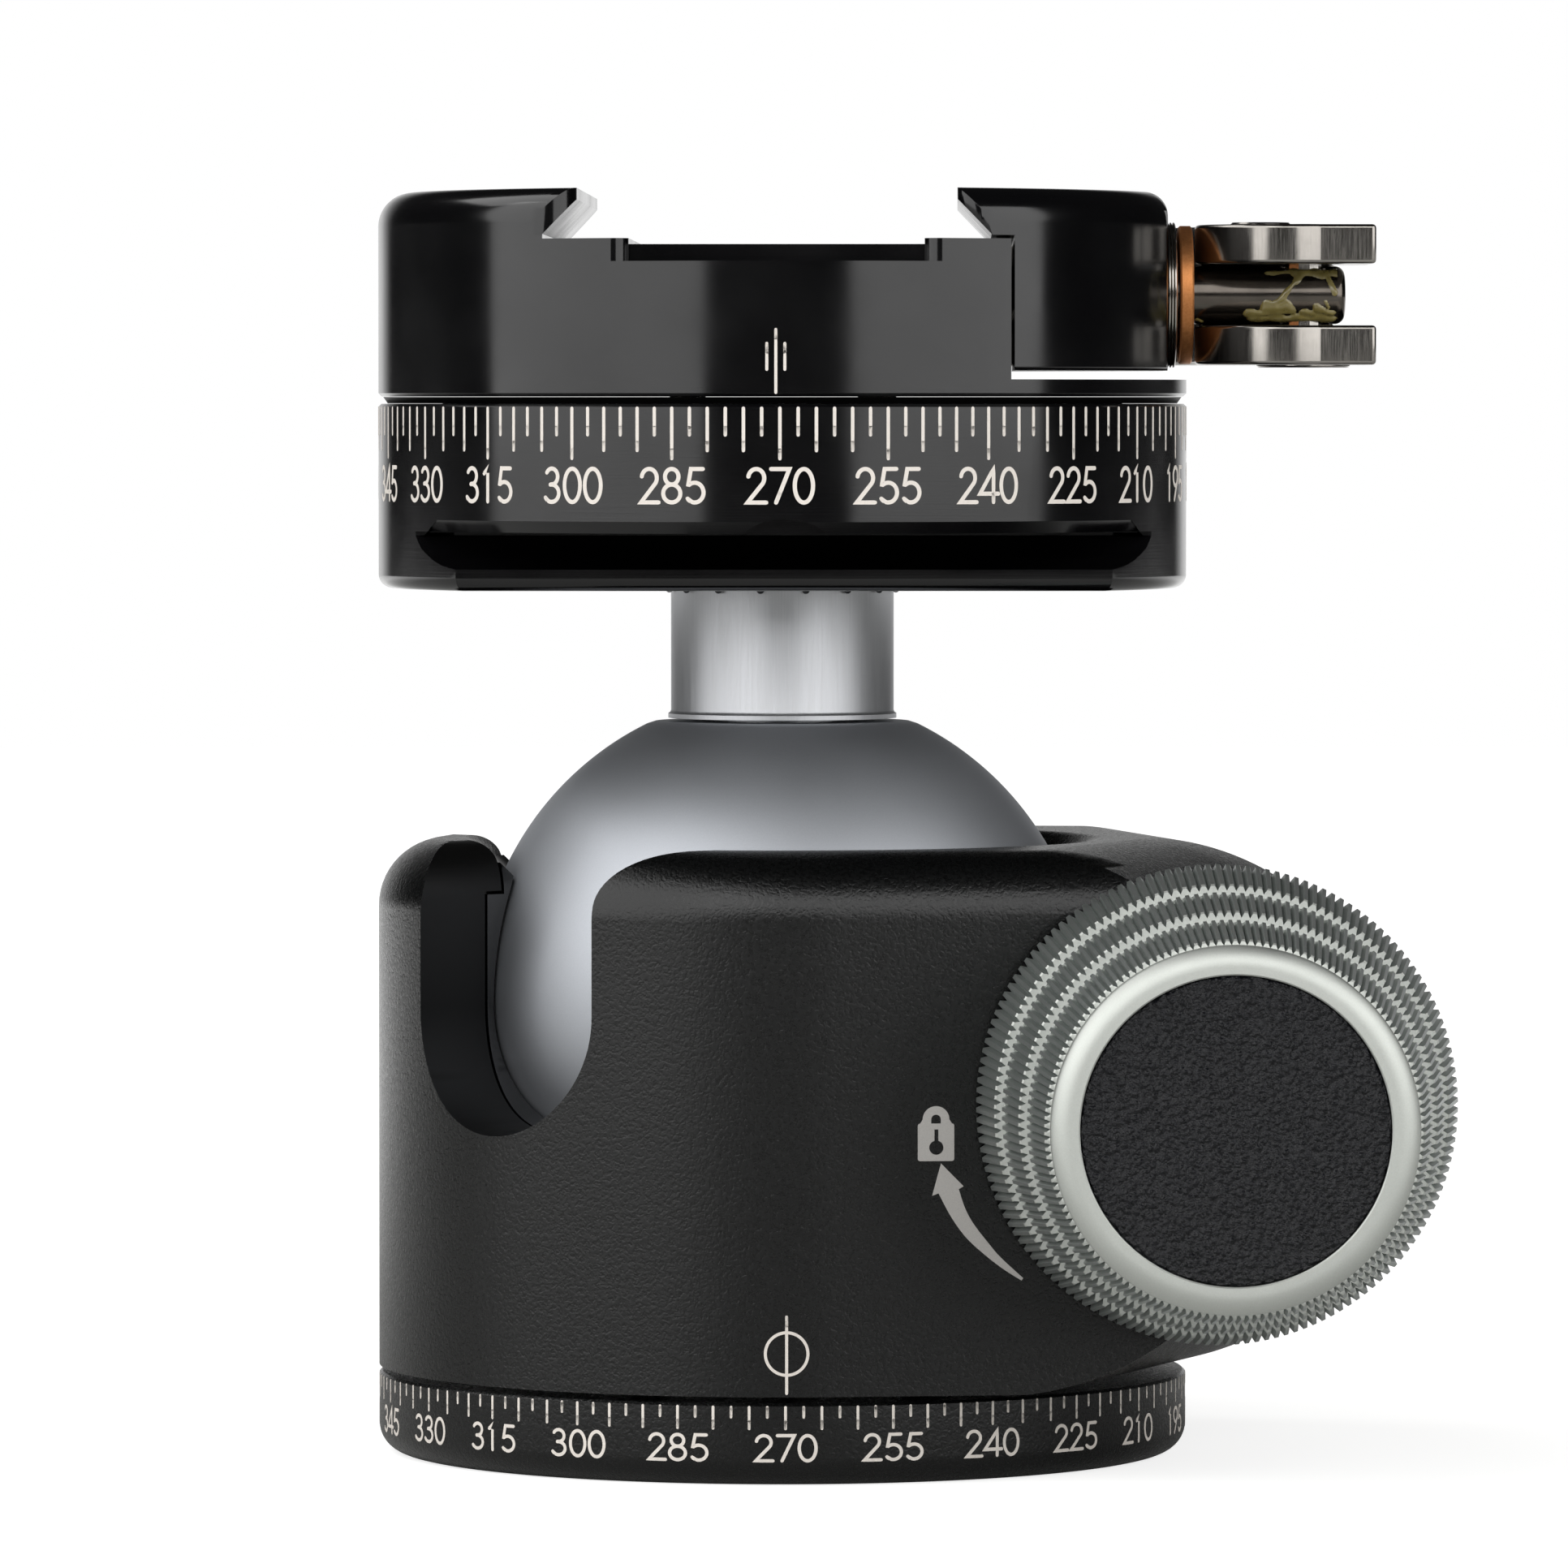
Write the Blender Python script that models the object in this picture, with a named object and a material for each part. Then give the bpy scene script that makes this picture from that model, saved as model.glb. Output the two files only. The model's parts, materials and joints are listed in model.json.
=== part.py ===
# Tripod ball head with a panning base and a panning lever-release dovetail clamp.
# Metres, +Z up. Origin: centre of the base's underside. The front faces -Y.

import math

import bmesh
import bpy
from mathutils import Matrix, Vector

for old_object in list(bpy.data.objects):
    bpy.data.objects.remove(old_object, do_unlink=True)

# Shared sizes
gap = 0.0003
overrun = 0.002
body_radius = 0.03625
round_steps = 40
ball_steps = 32
middle_steps = 20
small_steps = 10
coil_steps = 8
smooth_angle = math.radians(35.0)
rear_turn = (-math.pi / 2.0, 0.0, 0.0)
front_turn = (math.pi / 2.0, 0.0, 0.0)
right_turn = (0.0, math.pi / 2.0, 0.0)

# Housing walls and the ball that they leave room for
housing_wall = 0.00745
collar_wall = 0.0013
bore_radius = body_radius - housing_wall
ball_radius = bore_radius - collar_wall
seat_clearance = 0.0003
seat_radius = ball_radius + seat_clearance

# Base plate with its dial rim
plate_height = 0.00725
plate_corner = 0.0025
rim_chamfer = 0.00025
insert_radius = 0.0063
insert_flange_radius = 0.0082
insert_flange_height = 0.0021
stud_bore_radius = 0.00405
screw_shank_radius = 0.00145
screw_head_radius = 0.0027
screw_head_height = 0.0028
screw_socket_radius = 0.0012
screw_socket_depth = 0.0013
screw_count = 3
screw_reach = 0.00745

# Pan bearing on the base plate
drum_margin = 0.01625
drum_radius = body_radius - drum_margin
drum_height = 0.00745
drum_lip = 0.004
drum_dish_radius = drum_radius - drum_lip
drum_dish_depth = 0.0026
drum_bore_radius = 0.0052
dish_clearance = 0.0007
screw_circle_radius = (insert_flange_radius + drum_radius) / 2.0
floor_flange_thickness = 0.003
floor_wall = 0.0019
floor_wall_height = 0.0089
pan_washer_thickness = 0.0005
pan_washer_step = 0.0012
pan_washer_inner = drum_radius + pan_washer_step
pan_washer_outer = bore_radius - floor_wall
nut_clearance = 0.0016
nut_outer_radius = bore_radius - gap - floor_wall - nut_clearance
nut_height = 0.0041
drum_bottom = plate_height + gap
drum_dish_z = drum_bottom + drum_height - drum_dish_depth
floor_bottom = drum_bottom + pan_washer_thickness + gap
floor_top = floor_bottom + floor_flange_thickness
nut_bottom = floor_top + gap + pan_washer_thickness + gap

# Seat below the ball
spring_width = 0.0039
spring_inner = bore_radius - gap - spring_width
spring_wire = 0.0006
spring_wave = 0.0009
spring_waves = 4
spring_low = floor_bottom + floor_wall_height + gap
seat_bottom = spring_low + 2.0 * (spring_wave + spring_wire) + gap
seat_height = 0.0054
collar_clearance = 0.00055
collar_bottom = seat_bottom + seat_height + collar_clearance

# Ball, collar and the housing's lip, stacked on the drum
ball_flat_cut = 0.0026
ball_flat_height = ball_radius - ball_flat_cut
ball_centre_z = drum_dish_z + dish_clearance + ball_radius
lip_step = 0.0019
lip_height = 0.00434
lip_round = 0.0019
lip_radius = bore_radius - lip_step
collar_neck = lip_radius - gap
collar_slope = 0.0012
collar_slope_radius = collar_neck - collar_slope
collar_slope_z = ball_centre_z + math.sqrt(seat_radius ** 2 - collar_slope_radius ** 2)
collar_neck_top = collar_slope_z + collar_slope
housing_top = collar_neck_top + lip_round
lip_ledge = housing_top - lip_height
seam_height = 0.00055
housing_bottom = plate_height + seam_height
top_round = 0.006
notch_half_width = 0.0108
notch_flare = 0.0048
notch_angles = (math.radians(225.0), math.radians(135.0))

# Cross clamp: bolt, cotters and the boss round them
bolt_radius = 0.004
chamber_radius = 0.0113
cotter_bite = 0.0026
cotter_length = 0.0155
cotter_half_gap = 0.0006
cotter_room = 0.0019
cotter_pocket_radius = 0.0068
cotter_pocket_depth = 0.0042
cotter_spring_radius = 0.0057
cotter_wire = 0.0009
cotter_spring_turns = 3
bolt_drop = 0.00745
bolt_x = bore_radius + chamber_radius - cotter_bite
bolt_z = ball_centre_z - bolt_drop
bolt_place = (bolt_x, 0.0, bolt_z)
chamber_rear = cotter_half_gap + cotter_length + cotter_room
barrel_wall = 0.0032
barrel_radius = chamber_radius + barrel_wall
barrel_inset = 0.00195
barrel_face = body_radius - barrel_inset
wall_slope = math.radians(7.0)
boss_shift = 0.0055
boss_overlap = 0.00005
boss_front_lean = 0.4
boss_rear_lean = 0.2
boss_centre_x = bolt_x - boss_shift
boss_centre_z = (housing_top + housing_bottom) / 2.0 - boss_overlap
boss_radius = (housing_top - housing_bottom) / 2.0 + boss_overlap

# Main knob
thrust_outer = 0.0105
thrust_thickness = 0.0008
knob_clearance = 0.0007
knob_back = barrel_face + knob_clearance
knob_seat_step = 0.0015
knob_seat_radius = thrust_outer + knob_seat_step
band_length = 0.0094
groove_width = 0.00245
groove_depth = 0.0003
band_back_radii = (0.02093, 0.019, 0.0172)
band_front_radii = (0.0196, 0.01785, 0.016)
bezel_round = 0.0014
bezel_length = 0.0024
rim_width = 0.0016
cap_radius = band_front_radii[-1] - bezel_round - rim_width
cap_depth = 0.0024
cap_inset = 0.00015
knob_web = 0.0031
knob_screw_radius = 0.0055
knob_screw_height = 0.0027
knob_screw_shank = 0.0017
knob_screw_reach = 0.008

# Small lock knobs at the rear
pan_lock_z = nut_bottom + nut_height / 2.0
pan_lock_radius = 0.0063
pan_lock_length = 0.0105
friction_drop = 0.0026
friction_z = ball_centre_z - friction_drop
friction_radius = 0.009
friction_length = 0.012
clamp_lock_radius = 0.0052
clamp_lock_length = 0.008
lock_screw_radius = 0.0022
lock_shoe_length = 0.0052
lock_knob_clearance = 0.0009
flute_count = 8
flute_depth = 0.0004
knob_edge = 0.0012
knob_face_edge = 0.0008

# Stem and the dovetail rail with the upper dial
stem_radius = 0.01
stem_height = 0.0121
stem_foot_flare = 0.00025
stem_foot_height = 0.0004
stem_spigot_radius = 0.006
stem_spigot_length = 0.0085
stem_bolt_radius = 0.0039
stem_bolt_reach = 0.0082
stem_bolt_head_radius = 0.0062
stem_bolt_head_height = 0.0048
stem_bolt_socket_radius = 0.003
stem_bolt_socket_depth = 0.0028
stem_insertion = 0.0004
stem_seat_depth = 0.0019
stem_foot = ball_centre_z + ball_flat_height + gap
stem_top = stem_foot + stem_height
dial_bottom = stem_top - stem_insertion
dial_height = 0.01645
dial_top = dial_bottom + dial_height
dial_corner = 0.0012
rail_half_width = 0.0219
rail_undercut = 0.0059
rail_lip_height = 0.0019
rail_lip_round = 0.0011
rail_flank_rise = 0.00295
rail_flank_shares = ((0.0, 0.0), (0.27, 0.1), (0.66, 0.42), (0.95, 0.86), (1.0, 1.0))
rail_depth = 0.0052
ceiling_chamfer = 0.0009
rail_neck_half_width = rail_half_width - rail_undercut
rail_ceiling = dial_bottom + rail_depth
tooth_washer_thickness = 0.0008
tooth_count = 16
tooth_width = 0.0012
tooth_reach = 0.00045
tooth_thickness = 0.00035
cavity_base = 0.0018
cavity_margin = 0.01775
cavity_floor = rail_ceiling + cavity_base
cavity_radius = body_radius - cavity_margin
ring_step = 0.0038
ring_thickness = 0.0033
ring_outer_radius = cavity_radius + ring_step
ring_screw_count = 3
ring_screw_radius = 0.0009
ring_screw_length = 0.0034
ring_head_scale = 1.6
ring_seat = dial_top - ring_thickness - gap

# Spindle that the clamp pans on
spindle_clearance = 0.0004
spindle_lift = 0.00065
spindle_step = 0.0029
spindle_wall = 0.0064
spindle_flange_radius = cavity_radius - spindle_clearance
spindle_radius = spindle_flange_radius - spindle_step
spindle_bore = spindle_radius - spindle_wall
spindle_bottom = cavity_floor + gap
spindle_flange_top = dial_top - ring_thickness - spindle_lift
ring_inner_radius = spindle_radius + spindle_clearance
clamp_lock_z = (spindle_bottom + spindle_flange_top) / 2.0
glide_step = 0.0032
glide_margin = 0.00575
glide_inner = ring_outer_radius + glide_step
glide_outer = body_radius - glide_margin
glide_sink = 0.0008

# Clamp body and moving jaw
pan_gap = 0.00065
clamp_bottom = dial_top + pan_gap
clamp_height = 0.0182
clamp_top = clamp_bottom + clamp_height
clamp_round = 0.003
clamp_chamfer = 0.0003
fixed_tip_x = 0.01795
jaw_tip_x = 0.0154
tip_height = 0.001
dovetail_depth = 0.00295
dovetail_rise = 0.00305
plate_room = 0.00445
deck_z = clamp_top - plate_room
jaw_overhang = 0.0048
parting_x = jaw_tip_x + jaw_overhang
flange_thickness = 0.0015
flange_top = clamp_bottom + flange_thickness
jaw_lift = 0.0008
jaw_trim = 0.00215
jaw_end_x = body_radius - jaw_trim
jaw_end_round = 0.0021
deck_relief_margin = 0.00115
deck_relief_half_width = jaw_tip_x - deck_relief_margin
deck_relief_depth = 0.0005
deck_notch_depth = 0.002
deck_notch_length = 0.00505
deck_notch_start = body_radius - deck_notch_length
clamp_screw_count = 4
clamp_screw_circle = (spindle_bore + spindle_radius) / 2.0
clamp_screw_radius = 0.0016
clamp_screw_head_radius = 0.0031
clamp_screw_head_height = 0.003
clamp_screw_sink = 0.0006
clamp_screw_reach = 0.006
clamp_screw_seat = deck_z - deck_relief_depth - clamp_screw_sink - clamp_screw_head_height

# Draw rod, guide pins and washers
rod_drop = 0.00465
rod_z = deck_z - rod_drop
rod_radius = 0.0026
rod_margin = 0.01225
rod_start_x = body_radius - rod_margin
rod_chamfer = 0.0007
guide_margin = 0.02225
guide_drop = 0.0019
guide_y = body_radius - guide_margin
guide_z = rod_z - guide_drop
guide_radius = 0.0015
guide_tail = 0.0119
guide_reach = 0.0095
guide_start_x = parting_x - guide_tail
guide_end_x = parting_x + guide_reach
jaw_spring_radius = 0.0026
jaw_spring_wire = 0.0004
jaw_spring_turns = 3
spring_pocket_depth = 0.0072
steel_washer_radius = 0.0065
steel_washer_thickness = 0.0008
steel_washer_groove = 0.0003
bronze_washer_radius = 0.0062
bronze_washer_thickness = 0.0012
steel_washer_x = jaw_end_x + gap
bronze_washer_x = steel_washer_x + steel_washer_thickness + gap

# Release lever
lever_half_height = 0.00626
lever_slot_half = 0.00275
lever_bottom = rod_z - lever_half_height
lever_top = rod_z + lever_half_height
pin_radius = 0.0016
pin_proud = 0.0001
cam_radius = 0.0079
cam_throw = 0.00185
cam_end_angle = math.radians(293.0)
cam_left = bronze_washer_x + bronze_washer_thickness + gap
cam_centre_x = cam_left + cam_radius
pin_x = cam_centre_x + cam_throw
rod_tail = 0.0037
rod_end_x = pin_x + rod_tail
ear_length = 0.008
ear_end_x = cam_centre_x + ear_length
ear_front_y = 0.0062
ear_rear_y = 0.0058
ear_corner = 0.0009
slot_room = 0.0029
lever_slot_end = rod_radius + slot_room
web_overhang = 0.0035
web_end_x = pin_x + web_overhang
web_end_y = 0.009
handle_gap = 0.00245
handle_thickness = 0.0045
handle_inner_radius = body_radius + handle_gap
handle_outer_radius = handle_inner_radius + handle_thickness
handle_flare = 0.0012
handle_start_angle = math.radians(12.0)
handle_end_angle = math.radians(60.0)
handle_steps = 10


def material(name, colour, roughness, metallic):
    finish = bpy.data.materials.new(name)
    finish.use_nodes = True
    shader = finish.node_tree.nodes["Principled BSDF"]
    shader.inputs["Base Color"].default_value = (*colour, 1.0)
    shader.inputs["Roughness"].default_value = roughness
    shader.inputs["Metallic"].default_value = metallic
    finish.diffuse_color = (*colour, 1.0)
    return finish


black_cast = material("black_powder_coat", (0.012, 0.012, 0.013), 0.55, 0.0)
black_anodised = material("black_anodised_aluminium", (0.010, 0.010, 0.011), 0.32, 0.6)
grey_anodised = material("grey_anodised_aluminium", (0.42, 0.43, 0.45), 0.38, 1.0)
bare_aluminium = material("turned_aluminium", (0.62, 0.63, 0.65), 0.3, 1.0)
silver_anodised = material("silver_anodised_aluminium", (0.6, 0.61, 0.6), 0.35, 1.0)
steel = material("turned_steel", (0.36, 0.35, 0.34), 0.35, 1.0)
bronze = material("sintered_bronze", (0.55, 0.25, 0.1), 0.5, 1.0)
black_polymer = material("black_acetal", (0.02, 0.02, 0.02), 0.5, 0.0)
white_polymer = material("white_acetal", (0.7, 0.7, 0.68), 0.5, 0.0)
cap_skin = material("grained_black_skin", (0.012, 0.012, 0.014), 0.6, 0.0)


def pivot(name, place):
    empty = bpy.data.objects.new(name, None)
    bpy.context.scene.collection.objects.link(empty)
    empty.location = place
    return empty


def carried(piece, carrier):
    piece.parent = carrier
    piece.matrix_parent_inverse = Matrix.Translation(-carrier.location)
    return piece


def placed(bm, name, finish, place=(0.0, 0.0, 0.0), turn=(0.0, 0.0, 0.0)):
    bmesh.ops.recalc_face_normals(bm, faces=bm.faces[:])
    mesh = bpy.data.meshes.new(name)
    bm.to_mesh(mesh)
    bm.free()
    mesh.shade_smooth()
    mesh.set_sharp_from_angle(angle=smooth_angle)
    piece = bpy.data.objects.new(name, mesh)
    bpy.context.scene.collection.objects.link(piece)
    piece.location = place
    piece.rotation_euler = turn
    if finish is not None:
        mesh.materials.append(finish)
    return piece


def turned(name, profile, finish, place=(0.0, 0.0, 0.0), turn=(0.0, 0.0, 0.0), steps=round_steps):
    # profile: (radius, height) points; from axis to axis for a full body, else a closed ring section
    bm = bmesh.new()
    section = [bm.verts.new((radius, 0.0, height)) for radius, height in profile]
    links = list(zip(section, section[1:]))
    if profile[0][0] > 0.0:
        links.append((section[-1], section[0]))
    edges = [bm.edges.new(link) for link in links]
    full_turn = math.radians(360.0)
    bmesh.ops.spin(bm, geom=section + edges, cent=(0.0, 0.0, 0.0), axis=(0.0, 0.0, 1.0),
                   angle=full_turn, steps=steps, use_merge=True)
    bmesh.ops.remove_doubles(bm, verts=bm.verts[:], dist=1e-7)
    return placed(bm, name, finish, place, turn)


def extruded(name, outline, low, high, finish, place=(0.0, 0.0, 0.0), turn=(0.0, 0.0, 0.0)):
    bm = bmesh.new()
    face = bm.faces.new([bm.verts.new((x, y, low)) for x, y in outline])
    grown = bmesh.ops.extrude_face_region(bm, geom=[face])
    raised = [item for item in grown["geom"] if isinstance(item, bmesh.types.BMVert)]
    bmesh.ops.translate(bm, verts=raised, vec=(0.0, 0.0, high - low))
    return placed(bm, name, finish, place, turn)


def bridged(name, rings, finish, place=(0.0, 0.0, 0.0), turn=(0.0, 0.0, 0.0)):
    # rings: closed rings with equal point counts, capped at both ends
    bm = bmesh.new()
    made = [[bm.verts.new(point) for point in ring] for ring in rings]
    for lower, upper in zip(made, made[1:]):
        for index in range(len(lower)):
            following = (index + 1) % len(lower)
            bm.faces.new((lower[index], lower[following], upper[following], upper[index]))
    bm.faces.new(list(reversed(made[0])))
    bm.faces.new(made[-1])
    return placed(bm, name, finish, place, turn)


def hidden(tool):
    tool.hide_render = True
    tool.display_type = "WIRE"
    return tool


def combined(piece, tool, operation):
    hidden(tool)
    step = piece.modifiers.new(operation.lower() + "_" + tool.name, "BOOLEAN")
    step.operation = operation
    step.solver = "EXACT"
    step.object = tool
    return piece


def cut(piece, *tools):
    for tool in tools:
        combined(piece, tool, "DIFFERENCE")
    return piece


def arc(centre, radius, first, last, steps):
    # points of an arc, angles in radians from the first axis
    points = []
    for index in range(steps + 1):
        angle = first + (last - first) * index / steps
        points.append((centre[0] + radius * math.cos(angle), centre[1] + radius * math.sin(angle)))
    return points


def washer_profile(inner, outer, low, high):
    return [(outer, high), (outer, low), (inner, low), (inner, high)]


def rod_tool(name, radius, low, high, place, turn, steps=small_steps):
    return turned(name, [(0.0, high), (radius, high), (radius, low), (0.0, low)], None, place, turn, steps)


def box_tool(name, low, high):
    outline = [(low[0], low[1]), (high[0], low[1]), (high[0], high[1]), (low[0], high[1])]
    return extruded(name, outline, low[2], high[2], None)


def gathered(name, pieces):
    # several tools made into one, for a single Boolean
    bm = bmesh.new()
    for piece in pieces:
        part = piece.data.copy()
        part.transform(Matrix.LocRotScale(piece.location, piece.rotation_euler, None))
        bm.from_mesh(part)
        bpy.data.objects.remove(piece, do_unlink=True)
    return placed(bm, name, None)


def around(radius, count, first):
    # evenly spread spots on a circle about the upright axis
    spots = []
    for index in range(count):
        angle = first + math.radians(360.0) * index / count
        spots.append((radius * math.cos(angle), radius * math.sin(angle), 0.0))
    return spots


def socket_screw(name, sizes, place, turn, finish):
    # sizes: shank radius, length below the head, head radius, head height, socket radius, socket depth
    shank, length, head, height, socket, depth = sizes
    profile = [(0.0, height - depth), (socket, height - depth), (socket, height), (head, height),
               (head, 0.0), (shank, 0.0), (shank, -length), (0.0, -length)]
    return turned(name, profile, finish, place, turn, small_steps)


def coil(name, radius, wire, length, turns, finish, place, turn):
    # an open helix along the local Z axis, centred on its place
    curve = bpy.data.curves.new(name, "CURVE")
    curve.dimensions = "3D"
    curve.bevel_depth = wire
    curve.bevel_resolution = 0
    curve.use_fill_caps = True
    path = curve.splines.new("POLY")
    count = turns * coil_steps
    path.points.add(count)
    for index, point in enumerate(path.points):
        angle = math.radians(360.0) * turns * index / count
        height = length * (index / count - 0.5)
        point.co = (radius * math.cos(angle), radius * math.sin(angle), height, 1.0)
    wound = bpy.data.objects.new(name, curve)
    bpy.context.scene.collection.objects.link(wound)
    wound.location = place
    wound.rotation_euler = turn
    curve.materials.append(finish)
    return wound


base_screw_spots = around(screw_circle_radius, screw_count, math.pi / 2.0)
ring_screw_spots = around((cavity_radius + ring_outer_radius) / 2.0, ring_screw_count, math.pi / 6.0)
clamp_screw_spots = around(clamp_screw_circle, clamp_screw_count, math.pi / 4.0)
pan_pivot = pivot("pan_pivot", Vector((0.0, 0.0, 0.0)))
ball_pivot = pivot("ball_pivot", Vector((0.0, 0.0, ball_centre_z)))
clamp_pivot = pivot("clamp_pivot", Vector((0.0, 0.0, clamp_bottom)))


def base_plate():
    corner = arc((body_radius - plate_corner, plate_corner), plate_corner, 0.0, -math.pi / 2.0, 3)
    step = plate_height - insert_flange_height - gap
    bore = insert_radius + gap
    wide_bore = insert_flange_radius + gap
    profile = [(wide_bore, plate_height), (body_radius - rim_chamfer, plate_height),
               (body_radius, plate_height - rim_chamfer)]
    profile += corner
    profile += [(bore, 0.0), (bore, step), (wide_bore, step)]
    plate = turned("base_plate", profile, black_cast)
    head_depth = screw_head_height + 2.0 * gap
    for index, spot in enumerate(base_screw_spots):
        hole = turned("plate_hole_%d" % index,
                      [(0.0, plate_height + overrun), (screw_shank_radius + gap, plate_height + overrun),
                       (screw_shank_radius + gap, head_depth), (screw_head_radius + gap, head_depth),
                       (screw_head_radius + gap, -overrun), (0.0, -overrun)], None, spot, steps=small_steps)
        cut(plate, hole)
    return plate


def thread_insert():
    flange = plate_height - insert_flange_height
    top = plate_height - gap
    profile = [(stud_bore_radius, top), (insert_flange_radius, top), (insert_flange_radius, flange),
               (insert_radius, flange), (insert_radius, gap), (stud_bore_radius, gap)]
    return turned("thread_insert", profile, steel, steps=middle_steps)


def base_screws():
    sizes = (screw_shank_radius, screw_reach, screw_head_radius, screw_head_height,
             screw_socket_radius, screw_socket_depth)
    for index, (x, y, _) in enumerate(base_screw_spots):
        spot = (x, y, screw_head_height + gap)
        socket_screw("base_screw_%d" % index, sizes, spot, (math.pi, 0.0, 0.0), steel)


def pan_drum():
    low = drum_bottom
    high = low + drum_height
    dish = drum_dish_z
    profile = [(drum_dish_radius, high), (drum_radius, high), (drum_radius, low),
               (drum_bore_radius, low), (drum_bore_radius, dish), (drum_dish_radius, dish)]
    drum = turned("pan_drum", profile, bare_aluminium, steps=middle_steps)
    hole_end = screw_head_height + gap + screw_reach + gap
    for index, spot in enumerate(base_screw_spots):
        cut(drum, rod_tool("drum_hole_%d" % index, screw_shank_radius + gap, 0.0, hole_end, spot,
                           (0.0, 0.0, 0.0), small_steps))
    return drum


def pan_washers():
    low = turned("pan_washer_lower", washer_profile(pan_washer_inner, pan_washer_outer, plate_height + gap,
                 plate_height + gap + pan_washer_thickness), white_polymer, steps=middle_steps)
    high = turned("pan_washer_upper", washer_profile(drum_radius + gap, nut_outer_radius - gap,
                  floor_top + gap, floor_top + gap + pan_washer_thickness), white_polymer, steps=middle_steps)
    return low, high


def pan_nut():
    profile = washer_profile(drum_radius + gap, nut_outer_radius, nut_bottom, nut_bottom + nut_height)
    return turned("pan_nut", profile, steel, steps=middle_steps)


def teardrop(inset):
    # plan of the housing: a round body whose flanks run on as two slanted walls to the right
    reach = boss_centre_x + boss_radius + overrun
    radius = body_radius - inset
    first = math.pi / 2.0 - wall_slope
    points = arc((0.0, 0.0), radius, first, 2.0 * math.pi - first, 44)
    slide = math.tan(wall_slope)
    corner_x, corner_y = points[0]
    end_y = corner_y - (reach - corner_x) * slide
    return points + [(reach, -end_y), (reach, end_y)]


def half_round(depth, centre_x):
    # side view of the boss at one depth: square to the left, half a circle to the right
    points = arc((centre_x, boss_centre_z), boss_radius, -math.pi / 2.0, math.pi / 2.0, 24)
    left = -body_radius - overrun
    points += [(left, boss_centre_z + boss_radius), (left, boss_centre_z - boss_radius)]
    return [(x, depth, z) for x, z in points]


def notch_tool(name, angle):
    outline = arc((0.0, 0.0), notch_half_width, math.pi, 2.0 * math.pi, 16)
    top = housing_top - ball_centre_z
    far = notch_half_width + notch_flare
    outline += arc((far, top - notch_flare), notch_flare, math.pi, math.pi / 2.0, 4)
    outline += [(far, top + overrun), (-far, top + overrun)]
    outline += arc((-far, top - notch_flare), notch_flare, math.pi / 2.0, 0.0, 4)
    start = ball_radius / 2.0
    end = body_radius + overrun
    tool = extruded(name, outline, start, end, None)
    tool.rotation_euler = (math.pi / 2.0, 0.0, angle + math.pi / 2.0)
    tool.location = (0.0, 0.0, ball_centre_z)
    return carried(tool, pan_pivot)


notch_tools = [notch_tool("notch_cut_%d" % index, angle) for index, angle in enumerate(notch_angles)]


def housing():
    rings = [[(x, y, housing_bottom) for x, y in teardrop(0.0)]]
    for share in (0.0, 0.25, 0.5, 0.75, 1.0):
        swing = share * math.pi / 2.0
        inset = top_round * (1.0 - math.cos(swing))
        height = housing_top - top_round * (1.0 - math.sin(swing))
        rings.append([(x, y, height) for x, y in teardrop(inset)])
    shell = bridged("housing", rings, black_cast)
    front = body_radius + overrun
    sections = [half_round(front, boss_centre_x - boss_rear_lean * front),
                half_round(0.0, boss_centre_x),
                half_round(-front, boss_centre_x - boss_front_lean * front)]
    combined(shell, bridged("half_round_form", sections, None), "INTERSECT")
    barrel = rod_tool("bolt_barrel", barrel_radius, 0.0, barrel_face, bolt_place, front_turn, middle_steps)
    combined(shell, barrel, "UNION")
    opening = [(0.0, housing_top + overrun), (lip_radius + lip_round, housing_top + overrun)]
    opening += arc((lip_radius + lip_round, housing_top - lip_round), lip_round,
                   math.pi / 2.0, math.pi, 3)
    opening += [(lip_radius, lip_ledge), (bore_radius, lip_ledge), (bore_radius, housing_bottom - overrun),
                (0.0, housing_bottom - overrun)]
    cut(shell, turned("housing_bore", opening, None), *notch_tools)
    cut(shell, rod_tool("chamber_bore", chamber_radius, -chamber_rear, body_radius + overrun,
                        bolt_place, front_turn, middle_steps))
    for name, height in (("pan_lock_bore", pan_lock_z), ("friction_bore", friction_z)):
        cut(shell, rod_tool(name, lock_screw_radius + gap, ball_radius, body_radius + overrun,
                            (0.0, 0.0, height), rear_turn))
    return carried(shell, pan_pivot)


def floor_ring():
    outer = bore_radius - gap
    wall = outer - floor_wall
    high = floor_bottom + floor_wall_height
    profile = [(wall, high), (outer, high), (outer, floor_bottom), (drum_radius + gap, floor_bottom),
               (drum_radius + gap, floor_top), (wall, floor_top)]
    ring = turned("floor_ring", profile, bare_aluminium)
    cut(ring, rod_tool("floor_ring_bore", lock_screw_radius + gap, wall - overrun, outer + overrun,
                       (0.0, 0.0, pan_lock_z), rear_turn))
    return carried(ring, pan_pivot)


def wave_spring():
    outer = bore_radius - gap
    middle = spring_low + spring_wave + spring_wire
    bm = bmesh.new()
    rings = []
    for index in range(ball_steps):
        angle = math.radians(360.0) * index / ball_steps
        height = middle + spring_wave * math.sin(spring_waves * angle)
        corners = ((outer, height - spring_wire), (outer, height + spring_wire),
                   (spring_inner, height + spring_wire), (spring_inner, height - spring_wire))
        rings.append([bm.verts.new((r * math.cos(angle), r * math.sin(angle), z)) for r, z in corners])
    for index, ring in enumerate(rings):
        following = rings[(index + 1) % len(rings)]
        for corner in range(4):
            other = (corner + 1) % 4
            bm.faces.new((ring[corner], ring[other], following[other], following[corner]))
    return carried(placed(bm, "wave_spring", steel), pan_pivot)


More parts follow.
